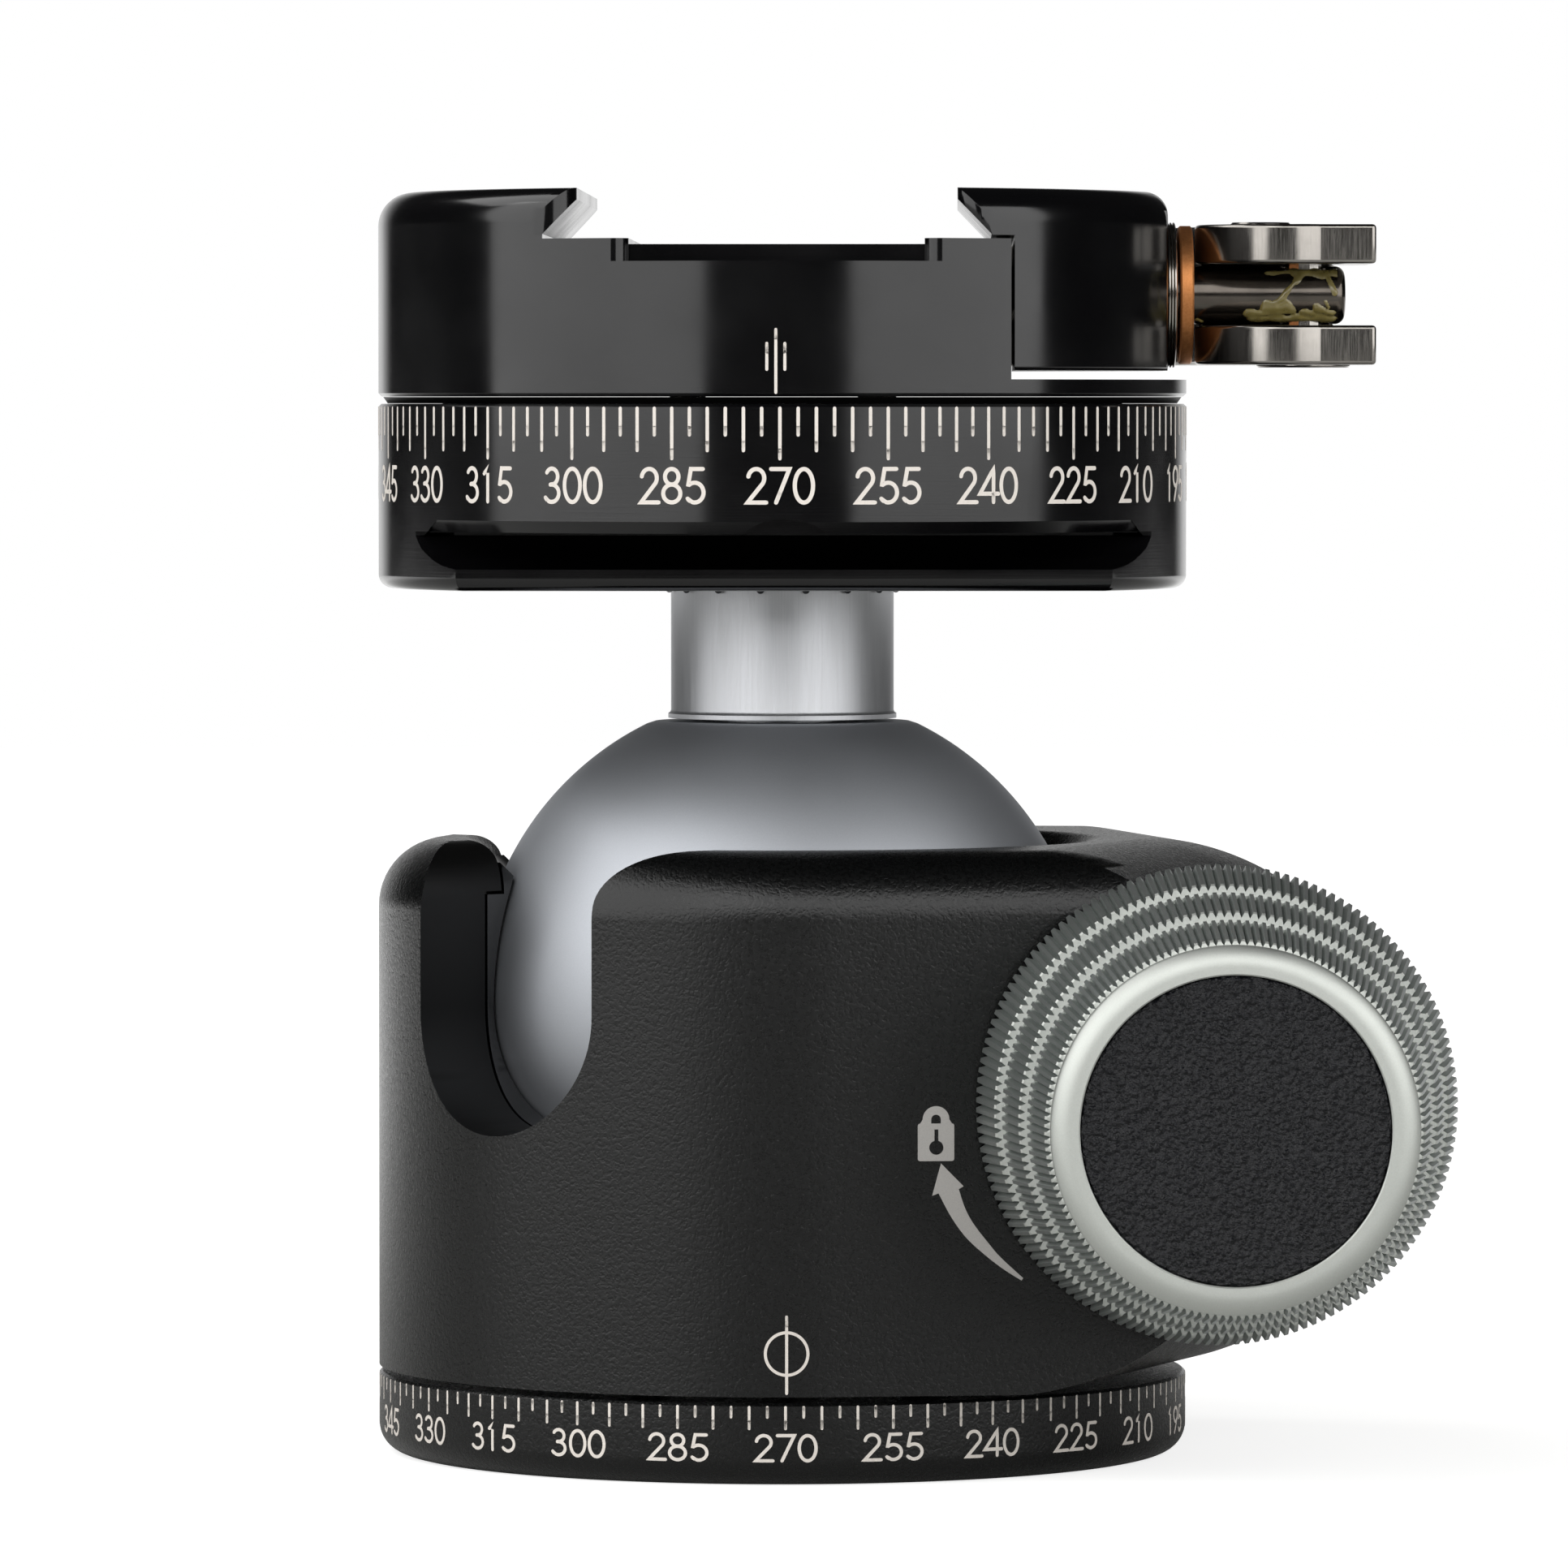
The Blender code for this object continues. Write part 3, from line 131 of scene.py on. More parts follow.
def skin(bm, rings, closedRun=False):
    # faces between neighbouring rings of vertices; a ring of one vertex is a tip
    runs = list(zip(rings, rings[1:]))
    if closedRun:
        runs.append((rings[-1], rings[0]))
    count = max(len(ring) for ring in rings)
    for lower, upper in runs:
        for index in range(count):
            after = (index + 1) % count
            corners = [lower[index % len(lower)], lower[after % len(lower)],
                       upper[after % len(upper)], upper[index % len(upper)]]
            unique = list(dict.fromkeys(corners))
            if len(unique) > 2:
                bm.faces.new(unique)
    if not closedRun:
        for ring in (rings[0], rings[-1]):
            if len(ring) > 2:
                bm.faces.new(ring)


def loft(name, rings, at=None, closedRun=False):
    bm = bmesh.new()
    skin(bm, [[bm.verts.new(point) for point in ring] for ring in rings], closedRun)
    return newSolid(bm, name, at)


def circle(radius, height, steps=circleSteps):
    return [(x, y, height) for x, y in arcPoints((0, 0), radius, 0, 360, steps)[:-1]]


def lathe(name, profile, at=None, steps=circleSteps):
    # profile: (radius, height) points, from axis to axis or round a closed section
    rings = [circle(*point, steps) if point[0] > 1e-6 else [(0.0, 0.0, point[1])] for point in profile]
    return loft(name, rings, at, profile[0][0] > 1e-6)


def prism(name, outline, low, high, at=None):
    return loft(name, [[(x, y, z) for x, y in outline] for z in (low, high)], at)


def throughY(name, outline, reach=far):
    # an outline in (x, z), run from front to rear
    return prism(name, outline, -reach, reach, placement(turnX=90.0))


def block(name, low, high):
    outline = [(low[0], low[1]), (high[0], low[1]), (high[0], high[1]), (low[0], high[1])]
    return prism(name, outline, low[2], high[2])


def rod(name, radius, low, high, at=None, steps=48):
    return lathe(name, [(0.0, low), (radius, low), (radius, high), (0.0, high)], at, steps)


def discSection(bore, radius, low, high, edge):
    return [(bore, low), (radius - edge, low), (radius, low + edge),
            (radius, high - edge), (radius - edge, high), (bore, high)]


def rearBore(name, start):
    # for the screw of a small knob at the rear
    return rod(name, rearScrewBore, start, far, placement(z=middleZ(name), turnX=-90.0))


def settle(solid):
    # works the modifiers out at once, so that none is left
    view = bpy.context.evaluated_depsgraph_get()
    mesh = bpy.data.meshes.new_from_object(solid.evaluated_get(view))
    solid.modifiers.clear()
    solid.data = mesh


def apply(solid, tools, operation="DIFFERENCE"):
    for tool in tools:
        step = solid.modifiers.new(tool.name, "BOOLEAN")
        step.operation = operation
        step.solver = "EXACT"
        step.object = tool
    settle(solid)
    for tool in tools:
        bpy.data.objects.remove(tool, do_unlink=True)
    return solid


def soften(solid, width, segments=2, angle=40.0):
    # a small round on the sharp edges
    step = solid.modifiers.new("edges", "BEVEL")
    step.width = width
    step.segments = segments
    step.limit_method = "ANGLE"
    step.angle_limit = math.radians(angle)
    step.miter_outer = "MITER_ARC"
    step.use_clamp_overlap = True
    settle(solid)


def piece(solid, name, look, body, *nodes, sharp=32.0, weighted=False):
    # finishes a solid: metres, shading, material, body and the CAD nodes it stands for
    mesh = solid.data
    mesh.transform(Matrix.Scale(mm, 4))
    mesh.shade_smooth()
    mesh.set_sharp_from_angle(angle=math.radians(sharp))
    if weighted:
        step = solid.modifiers.new("shading", "WEIGHTED_NORMAL")
        step.keep_sharp = True
        step.weight = 80
        settle(solid)
        mesh = solid.data
    mesh.name = name
    solid.name = name
    mesh.materials.clear()
    mesh.materials.append(look)
    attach(solid, body)
    if nodes:
        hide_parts(*nodes)
    return solid


def linearColour(code):
    # a hex sRGB colour as the linear values that Blender's sockets take
    shares = [int(code[start:start + 2], 16) / 255.0 for start in (1, 3, 5)]
    return (*[c / 12.92 if c <= 0.04045 else ((c + 0.055) / 1.055) ** 2.4 for c in shares], 1.0)


def addNode(tree, kind, settings=None, links=None):
    # settings and links are keyed by socket name or number; other names are the node's own properties
    node = tree.nodes.new("ShaderNode" + kind)
    for key, value in (settings or {}).items():
        if isinstance(key, int) or key in node.inputs:
            node.inputs[key].default_value = value
        else:
            setattr(node, key, value)
    for key, source in (links or {}).items():
        tree.links.new(source, node.inputs[key])
    return node.outputs


def perMetre(size):
    # the scale of a pattern whose features are about this many millimetres wide
    return 1.0 / (size * mm)


def objectSpot(tree, stretch=(1.0, 1.0, 1.0)):
    spot = addNode(tree, "TexCoord")["Object"]
    return addNode(tree, "Mapping", {"Scale": stretch}, {"Vector": spot})["Vector"]


slotOf, slotLooks = {}, {}  # the record's slot for each look, and the first look of each slot


def newLook(slot, name, colours, roughness, depth, grain, stretch=(1.0, 1.0, 1.0), cloud=None, stained=False,
            relief=None, **sockets):
    # colours: whole, dark and light; roughness: whole and, where it varies, its two ends
    # grain and cloud: width in mm, detail, roughness and distortion of a fine and of a wide pattern
    # the wide one varies the gloss or, where stained, the colour; the bump's depth is in mm
    # relief: one more pattern in the bump, as its node, settings, output and share
    look = bpy.data.materials.new(name)
    look.use_nodes = True
    tree = look.node_tree
    shader = tree.nodes["Principled BSDF"].inputs
    whole, dark, light = [linearColour(code) for code in colours]
    look.diffuse_color = shader["Base Color"].default_value = whole
    shader["Roughness"].default_value = roughness[0]
    for socket, value in sockets.items():
        shader[socket.replace("_", " ")].default_value = value
    patterns = []
    for (width, *rest), stretched in [(grain, stretch)] + ([(cloud, (1.0, 1.0, 1.0))] if cloud else []):
        settings = dict(zip(("Detail", "Roughness", "Distortion"), rest), Scale=perMetre(width))
        spot = objectSpot(tree, stretched)
        patterns.append(addNode(tree, "TexNoise", settings, {"Vector": spot})["Fac"])
    fine, wide = patterns[0], patterns[-1]
    height = fine
    if relief:
        kind, settings, output, share = relief
        second = addNode(tree, kind, settings, {"Vector": objectSpot(tree)})[output]
        height = addNode(tree, "Math", {"operation": "MULTIPLY_ADD", 1: share},
                         {0: second, 2: fine})["Value"]
    bump = addNode(tree, "Bump", {"Distance": depth * mm}, {"Height": height})
    tree.links.new(bump["Normal"], shader["Normal"])
    if len(roughness) > 1:
        gloss = addNode(tree, "MapRange", {"From Min": 0.3, "From Max": 0.7, "To Min": roughness[1],
                        "To Max": roughness[2]}, {"Value": fine if stained else wide})
        tree.links.new(gloss["Result"], shader["Roughness"])
    shade = addNode(tree, "Mix", {"data_type": "RGBA", 6: dark, 7: light},
                    {0: wide if stained else fine})
    tree.links.new(shade[2], shader["Base Color"])
    slotOf[name] = slot
    slotLooks.setdefault(slot, look)
    return look


# cast aluminium under a fine-textured powder coat: soft sheen, leather-like grain of about 0.35 mm
powder = newLook("black_powder_coat", "fineTexturedPowderCoat", ("#050606", "#020202", "#070808"),
                 (0.28, 0.24, 0.32), 0.042, (0.33, 2.0, 0.45, 0.6), IOR=1.45,
                 relief=("TexNoise", {"Scale": perMetre(0.17), "Detail": 1.0}, "Fac", 0.3))
# turned aluminium, dyed black: a deep gloss with fine tool lines round it
anodised = newLook("black_anodised_aluminium", "turnedBlackAnodisedAluminium",
                   ("#060607", "#040405", "#09090a"), (0.14, 0.12, 0.18), 0.0016, (0.14, 3.0, 0.7),
                   (0.012, 0.012, 1.0), (9.0, 5.0))
# hard anodised ball: satin, slightly blue grey
ballGrey = newLook("grey_anodised_aluminium", "satinGreyAnodisedAluminium", ("#b3b6bb", "#aeb1b6", "#babdc2"),
                   (0.53, 0.51, 0.55), 0.003, (0.11, 2.0), cloud=(11.0, 4.0), Metallic=1.0)
# bright turned grooves and rings
turnedBright = newLook("turned_aluminium", "turnedAluminium", ("#d0d2d1", "#c8caca", "#dddfde"), (0.28,),
                       0.002, (0.2, 3.0), (0.03, 0.03, 1.0), Metallic=1.0)
# turned and lengthwise brushed stem: soft streaks along the axis
brushed = newLook("turned_aluminium", "brushedAluminium", ("#c0c1c4", "#b1b3b7", "#cecfd1"), (0.3, 0.4, 0.5),
                  0.0022, (0.16, 4.0, 0.6), (1.0, 1.0, 0.025), Metallic=1.0)
# bead-blasted, clear anodised knob: frosty silver with a faint green grey
blasted = newLook("silver_anodised_aluminium", "beadBlastedAluminium", ("#c2c5c0", "#bbbeb9", "#c9ccc7"),
                  (0.54, 0.51, 0.57), 0.005, (0.12, 2.0), cloud=(7.0, 3.0), Metallic=1.0)
# the same finish on the rolled knurl, where handling has dulled the ridges
knurled = newLook("silver_anodised_aluminium", "knurledAluminium", ("#b4b9b5", "#a9aeab", "#c4c9c6"),
                  (0.44, 0.38, 0.5), 0.006, (0.15, 3.0), Metallic=1.0)
# pressed leathercloth disc: crinkles of about 0.45 mm with small shiny tops
skinBlack = newLook("grained_black_skin", "grainedLeathercloth", ("#050607", "#040406", "#0f1016"),
                    (0.26, 0.18, 0.36), 0.5, (0.3, 3.0), IOR=1.42,
                    relief=("TexVoronoi", {"feature": "SMOOTH_F1", "Scale": perMetre(0.46),
                            "Smoothness": 0.6}, "Distance", -1.0))


def satinSteel(name, dark, light, stretch):
    # ground steel: grey with a warm cast, fine grinding lines and faint stains
    return newLook("turned_steel", name, (light, dark, light), (0.2, 0.14, 0.24), 0.0012, (0.12, 4.0, 0.65),
                   stretch, (2.6, 5.0), stained=True, Metallic=1.0)


steelAround = satinSteel("turnedSteel", "#a09c96", "#c2beb8", (1.0, 0.03, 0.03))
steelUpright = satinSteel("groundSteel", "#85817c", "#a8a49e", (1.0, 1.0, 0.04))
steelOiled = satinSteel("oiledSteel", "#4a4540", "#716b64", (0.04, 1.0, 1.0))
# porous bearing bronze, browned by oil
bronze = newLook("sintered_bronze", "sinteredBronze", ("#b5763f", "#a5602e", "#e2a068"), (0.42, 0.36, 0.54),
                 0.012, (0.22, 4.0, 0.7), Metallic=1.0)


def evenPlastic(slot, name, dark, light, roughness, width, detail, ior):
    # one nearly even colour with a very shallow grain
    return newLook(slot, name, (light, dark, light), (roughness,), 0.004, (width, detail), IOR=ior)


# turned acetal: waxy and even; then satin paint and rubber, which mirror less
evenPlastic("white_acetal", "whiteAcetal", "#dedcd4", "#eeece6", 0.42, 0.4, 3.0, 1.48)
evenPlastic("black_acetal", "blackAcetal", "#0c0c0d", "#161617", 0.42, 0.4, 3.0, 1.48)
notchBlack = evenPlastic("black_acetal", "satinBlackPrimer", "#040404", "#070707", 0.42, 0.4, 3.0, 1.28)
rubber = evenPlastic("black_acetal", "blackNitrileRubber", "#020202", "#050505", 0.42, 0.4, 3.0, 1.15)
# screen-printed ink: matt, very slightly uneven
ink = evenPlastic("white_acetal", "screenPrintedWhiteInk", "#cfc7be", "#e2dcd5", 0.6, 0.12, 2.0, 1.5)
greyInk = evenPlastic("white_acetal", "screenPrintedGreyInk", "#9b9895", "#aeaba7", 0.6, 0.12, 2.0, 1.5)
# lithium grease: olive yellow, wet and a little clear
grease = newLook("turned_steel", "lithiumGrease", ("#a89c54", "#85742f", "#cbbd78"), (0.16,), 0.08,
                 (0.9, 4.0), Transmission_Weight=0.55, IOR=1.47, Coat_Weight=0.6)
for row in frame["record"]["subparts"]:
    shown = frame["nodes"][row["node"]].data.materials
    shown.clear()
    shown.append(slotLooks[row["material_slot"]])
print("materials ready")


# Base plate with the lower dial on its rim
base = {"radius": bodyRadius - inkLift, "corner": 2.5, "edge": 0.25, "bore": 6.6, "wideBore": 8.5,
        "step": 4.85, "screws": 3, "screwCircle": 14.1, "headBore": 3.0, "headDepth": 3.4,
        "shankBore": 1.75}


def rimProfile(radius, low, high, corner, edge):
    # outer side from top to bottom: small edge, upright wall, rounded lower corner
    return [(radius - edge, high), (radius, high - edge)] + arcPoints(
        (radius - corner, low + corner), corner, 0, -90, 10)


def buildBase():
    side = rimProfile(base["radius"], 0.0, plateTop, base["corner"], base["edge"])
    plate = lathe("plate", [(base["wideBore"], plateTop)] + side + [
        (base["bore"], 0.0), (base["bore"], base["step"]), (base["wideBore"], base["step"])])
    holes = []
    for x, y in arcPoints((0, 0), base["screwCircle"], 90, 450, base["screws"])[:-1]:
        holes.append(rod("hole", base["headBore"], -1.0, base["headDepth"], placement(x, y)))
        holes.append(rod("shank", base["shankBore"], 1.0, plateTop + 1.0, placement(x, y)))
    apply(plate, holes)
    piece(plate, "basePlate", powder, "base", "base_plate")


# Housing: a round body whose flanks run into a boss for the locking knob
shell = {"top": 6.0, "slope": 7.0, "bossX": boltX - 5.5, "bossRear": 0.2, "bossFront": 0.4, "barrel": 14.5,
         "lip": 26.9, "lipRound": 1.9, "lipHeight": 4.34, "notch": 10.8, "flare": 4.8, "chamber": 11.3,
         "chamberRear": 18.0, "faceInset": 1.95, "edge": 0.34}
shell["bossRadius"] = (housingTop - housingBottom) / 2.0 + 0.09
shell["bossZ"] = (housingTop + housingBottom) / 2.0 - 0.05
notchAngles = (225.0, 135.0)
knobFacing = placement(boltX, 0.0, boltZ, turnX=90.0)  # local +Z to the front along the bolt


def wallCorner(radius):
    # where the round side meets the flat flank, in plan
    return arcPoints((0, 0), radius, 90.0 - shell["slope"], 90.0, 1)[0]


def teardrop(inset):
    reach = shell["bossX"] + shell["bossRadius"] + 2.0
    first = 90.0 - shell["slope"]
    points = arcPoints((0, 0), bodyRadius - inset, first, 360.0 - first, 150)
    endY = points[0][1] - (reach - points[0][0]) * math.tan(math.radians(shell["slope"]))
    return points + [(reach, -endY), (reach, endY)]


def halfRound(depth, lean):
    # section of the boss in (x, z); it leans back a little towards its ends
    centre = (shell["bossX"] - lean * abs(depth), shell["bossZ"])
    points = arcPoints(centre, shell["bossRadius"], -90, 90, 96)
    points += [(-far, centre[1] + shell["bossRadius"]), (-far, centre[1] - shell["bossRadius"])]
    return [(x, depth, z) for x, z in points]


def notchTool(angle):
    half, flare, top = shell["notch"], shell["flare"], housingTop - ballCentre
    outline = arcPoints((0, 0), half, 180, 360, 48)
    outline += arcPoints((half + flare, top - flare), flare, 180, 90, 14)
    outline += [(half + flare, top + past), (-half - flare, top + past)]
    outline += arcPoints((-half - flare, top - flare), flare, 90, 0, 14)
    turn = Matrix.Rotation(math.radians(angle + 90.0), 4, "Z") @ Matrix.Rotation(math.radians(90.0), 4, "X")
    return prism("notch", outline, ballRadius / 2.0, far, placement(z=ballCentre) @ turn)


def inNotch(point, normal, angle):
    # whether a face belongs to a notch's machined wall
    turn = Matrix.Rotation(math.radians(-angle - 90.0), 4, "Z")
    side, along, rise = turn @ Vector(point)
    rise -= ballCentre
    near = 0.02
    if -along < ballRadius / 2.0 or abs((turn @ normal).y) > 0.1:
        return False
    half, flare, top = shell["notch"], shell["flare"], housingTop - ballCentre
    if rise < 0.0:
        return abs(math.hypot(side, rise) - half) < near
    if rise < top - flare:
        return abs(abs(side) - half) < near
    return abs(math.hypot(half + flare - abs(side), rise - top + flare) - flare) < 2.0 * near


def buildHousing():
    rings = [[(x, y, housingBottom) for x, y in teardrop(0.0)]]
    for inset, rise in arcPoints((0, 0), shell["top"], 0, 90, 14):
        rings.append([(x, y, housingTop - shell["top"] + rise) for x, y in teardrop(shell["top"] - inset)])
    body = loft("shell", rings)
    sections = [halfRound(far * share / 6.0, shell["bossRear"]) for share in range(6, 0, -1)]
    sections += [halfRound(-far * share / 6.0, shell["bossFront"]) for share in range(7)]
    apply(body, [loft("form", sections)], "INTERSECT")
    barrel = rod("barrel", shell["barrel"], 0.0, bodyRadius - shell["faceInset"], knobFacing, 96)
    apply(body, [barrel], "UNION")
    lip, lipRound = shell["lip"], shell["lipRound"]
    ledge = housingTop - shell["lipHeight"]
    opening = [(0.0, housingTop + past), (lip + lipRound, housingTop + past)]
    opening += arcPoints((lip + lipRound, housingTop - lipRound), lipRound, 90, 180, 10)
    opening += [(lip, ledge), (boreRadius, ledge), (boreRadius, housingBottom - past),
                (0.0, housingBottom - past)]
    tools = [lathe("bore", opening)] + [notchTool(angle) for angle in notchAngles]
    tools.append(rod("chamber", shell["chamber"], -shell["chamberRear"], far, knobFacing, 96))
    tools += [rearBore(name, ballRadius) for name in ("pan_lock_screw", "friction_screw")]
    apply(body, tools)
    soften(body, shell["edge"])
    piece(body, "housingShell", powder, "housing", "housing", weighted=True)
    body.data.materials.append(notchBlack)
    for face in body.data.polygons:
        if any(inNotch(face.center / mm, face.normal, angle) for angle in notchAngles):
            face.material_index = 1


def buildCollar():
    # black liner ring between the ball and the lip
    liner = {"mouth": 1.2, "edge": 0.12}
    outer, hollow, neck = boreRadius - slack, ballRadius + slack, shell["lip"] - slack
    ledge = housingTop - shell["lipHeight"] - slack
    low, high = nodeBox("ball_collar")
    first = math.degrees(math.asin((low.z - ballCentre) / hollow))
    last = math.degrees(math.acos((neck - liner["mouth"]) / hollow))
    section = [(neck, high.z), (neck, ledge), (outer, ledge), (outer, low.z)]
    section += arcPoints((0.0, ballCentre), hollow, first, last, 30)
    collar = lathe("collar", section)
    apply(collar, [notchTool(angle) for angle in notchAngles])
    soften(collar, liner["edge"])
    piece(collar, "linerRing", anodised, "housing", "ball_collar", weighted=True)


# Ball and stem
neckSizes = {"radius": 10.0, "flare": 0.25, "flareHeight": 0.4, "spigot": 6.0, "spigotLength": 8.5,
             "bore": 4.2, "boreDepth": 8.5, "flatEdge": 0.25, "topEdge": 0.15,
             "fillet": ((0.0, 0.3), (0.08, 0.12))}  # outwards and upwards from the foot of the neck


def buildBall():
    flat = ballFlat - ballCentre
    edge = neckSizes["flatEdge"]
    last = math.degrees(math.asin((flat - edge) / ballRadius))
    socket, floor = neckSizes["spigot"] + slack, flat - neckSizes["spigotLength"] - slack
    rim = math.sqrt(ballRadius ** 2 - flat ** 2)
    profile = [(0.0, floor), (socket, floor), (socket, flat), (rim - edge, flat)]
    profile += arcPoints((0.0, 0.0), ballRadius, last, -90, 90)
    profile[-1] = (0.0, -ballRadius)
    piece(lathe("ballForm", profile, placement(z=ballCentre)), "satinBall", ballGrey, "ball", "ball")


def buildStem():
    radius, edge, spigot = neckSizes["radius"], neckSizes["topEdge"], neckSizes["spigot"]
    foot, top = stemLow.z + neckSizes["spigotLength"], stemHigh.z
    flare, rise = radius + neckSizes["flare"], foot + neckSizes["flareHeight"]
    bore, floor = neckSizes["bore"], top - neckSizes["boreDepth"]
    profile = [(0.0, floor), (bore, floor), (bore, top), (radius - edge, top), (radius, top - edge),
               *[(radius + outward, rise + upward) for outward, upward in neckSizes["fillet"]],
               (flare, rise), (flare, foot), (spigot, foot), (spigot, stemLow.z), (0.0, stemLow.z)]
    piece(lathe("stemForm", profile), "brushedStem", brushed, "ball", "stem")


def buildToothWasher():
    # spring washer whose 16 round nubs show round the top of the stem
    washer = {"nubs": 16, "nubRadius": 0.36, "turn": 11.25, "bore": 4.5, "rim": 0.35, "overlap": 0.05}
    low, high = nodeBox("tooth_washer")
    inner = neckSizes["radius"] + slack
    foot, outer = stemHigh.z + slack, inner + washer["rim"]
    ring = lathe("washer", [(washer["bore"], foot), (outer, foot), (outer, high.z), (washer["bore"], high.z)])
    nubs = []
    nub, top = washer["nubRadius"], high.z - 0.1
    profile = [(0.0, low.z)] + arcPoints((0.0, low.z + nub), nub, -72, 0, 5) + [(nub, top), (0.0, top)]
    turn = washer["turn"]
    for x, y in arcPoints((0, 0), inner + washer["overlap"], turn, turn + 360.0, washer["nubs"])[:-1]:
        nubs.append(lathe("nub", profile, placement(x, y), 16))
    apply(ring, nubs, "UNION")
    piece(ring, "toothedWasher", anodised, "ball", "tooth_washer")


# Upper dial, which is also a dovetail rail
dial = {"radius": bodyRadius - inkLift, "corner": 1.2, "edge": 0.25, "railHalf": 21.9, "railNeck": 16.0,
        "lip": 1.9, "lipRound": 1.1, "ceiling": 5.2, "chamfer": 1.05, "chamferReach": 30.4, "seal": 35.4,
        "cavity": 18.5, "cavityFloor": 7.0, "ring": 22.3, "ringDepth": 3.3, "glideInner": 25.5,
        "glideOuter": 30.5, "glideDepth": 0.8, "recess": 11.25, "recessDepth": 1.9,
        "indexWidth": 2.85, "indexRise": 0.75, "indexSink": 0.45, "softEdge": 0.1,
        # the rail's hollow flank, inwards and upwards from the end of its lip
        "flank": ((0.0, 0.0), (1.6, 0.3), (2.8, 0.7), (3.9, 1.24), (4.9, 1.8), (5.6, 2.54), (5.9, 2.95))}


def railRelief(side):
    # the space beside the rail: flat above, and inside it the rail's hollow flank and rounded lip
    reach, deep, high = bodyRadius + 4.0, dialBottom - 4.0, dialBottom + dial["ceiling"]
    lip, lipTop = dial["railHalf"] - dial["lipRound"], dialBottom + dial["lip"]
    flank = [(lip, deep), (reach, deep), (reach, high), (dial["railNeck"], high)]
    flank += [(dial["railHalf"] - inward, lipTop + upward) for inward, upward in reversed(dial["flank"])]
    flank += arcPoints((lip, dialBottom + dial["lipRound"]), dial["lipRound"], 0, -90, 8)
    return prism("flank", [(-z, side * y) for y, z in flank], -reach, reach, placement(turnY=90.0))


def ceilingChamfer():
    # turned chamfer over the two grooves, with slanted ends
    ceiling, reach, flare = dialBottom + dial["ceiling"], dial["chamferReach"], far
    inner = bodyRadius - dial["chamfer"]
    under, sunk = ceiling - 0.5, 0.1
    ring = lathe("chamfer", [(inner - 2.0, under), (inner - 2.0, ceiling - sunk),
                             (inner - sunk, ceiling - sunk), (flare, ceiling + flare - inner),
                             (flare, under)])
    low, high = ceiling - 1.0, ceiling + dial["chamfer"] + 1.0
    ends = [(-reach - 2.0, low), (reach + 2.0, low), (reach + 1.0, ceiling), (reach - 0.6, high),
            (0.6 - reach, high), (-reach - 1.0, ceiling)]
    return apply(ring, [throughY("ends", ends, bodyRadius + 4.0)], "INTERSECT")


def buildDial():
    glideFloor, seat = dialTop - dial["glideDepth"], dialTop - dial["ringDepth"] - slack
    ring, low = dial["ring"] + slack, dialBottom + dial["cavityFloor"]
    glideInner, glideOuter = dial["glideInner"] - slack, dial["glideOuter"] + slack
    recessTop = dialBottom + dial["recessDepth"]
    profile = [(dial["cavity"], low), (dial["cavity"], seat), (ring, seat), (ring, dialTop),
               (glideInner, dialTop), (glideInner, glideFloor),
               (glideOuter, glideFloor), (glideOuter, dialTop)]
    profile += rimProfile(dial["radius"], dialBottom, dialTop, dial["corner"], dial["edge"])
    profile += [(dial["recess"], dialBottom), (dial["recess"], recessTop), (neckSizes["bore"], recessTop),
                (neckSizes["bore"], low)]
    body = lathe("dialForm", profile)
    # shallow thumbnail cut over the rail's middle
    rise, half = dial["indexRise"], dial["indexWidth"]
    sweep = (half ** 2 + rise ** 2) / (2.0 * rise)
    middle = dialBottom + dial["ceiling"] + dial["chamfer"] + rise - dial["indexSink"] - sweep
    thumbnail = rod("thumbnail", sweep, bodyRadius - 3.0, far, placement(z=middle, turnX=90.0), 96)
    apply(body, [railRelief(-1.0), railRelief(1.0), ceilingChamfer(), thumbnail,
                 rearBore("clamp_lock_screw", dial["cavity"] - past)])
    soften(body, dial["softEdge"])
    piece(body, "upperDial", anodised, "ball", "dial_base", weighted=True)


def buildSeal():
    # flat ring that keeps dust out of the seam under the clamp
    clear, flare = 0.04, 0.4
    low, high = dialTop + clear, clampBottom - clear
    inner, outer = dial["glideOuter"] + 2.0 * slack, dial["seal"]
    section = [(inner, low), (outer, low), (outer + flare, high), (inner, high)]
    piece(lathe("ring", section), "seamSeal", rubber, "ball")


# Clamp: fixed body and moving jaw on one turned disc
clamp = {"radius": bodyRadius - inkLift, "crown": 3.0, "foot": 0.3, "fixedTip": 17.5, "jawTip": 15.7,
         "tip": 1.0, "undercut": 2.95, "rise": 3.05, "plateRoom": 4.45, "parting": 20.4, "flange": 1.5,
         "turn": -1.29, "relief": 12.85, "corner": 1.35, "fixedCorner": 2.5, "jawCorner": 2.0,
         "reliefDepth": 0.5, "notchDepth": 2.0, "notchStart": 31.2, "rodBore": 2.9, "rodStart": 24.3,
         "guideY": 14.0, "guideDrop": 1.9, "guideBore": 1.8, "springBore": 3.2, "springDepth": 7.2,
         "headBore": 3.4, "headDepth": 3.3, "screwBore": 1.9, "jawEnd": 34.1, "jawRound": 2.1,
         "jawGap": 0.8, "guideEnd": 30.0, "edge": 0.16}
deckZ = clampTop - clamp["plateRoom"]
alongRod = placement(z=rodZ, turnY=90.0)


def clampDisc(low):
    radius, crown = clamp["radius"], clamp["crown"]
    profile = [(0.0, clampTop)] + arcPoints((radius - crown, clampTop - crown), crown, 90, 0, 14)
    profile += [(radius, low + clamp["foot"]), (radius - clamp["foot"], low), (0.0, low)]
    return lathe("disc", profile)


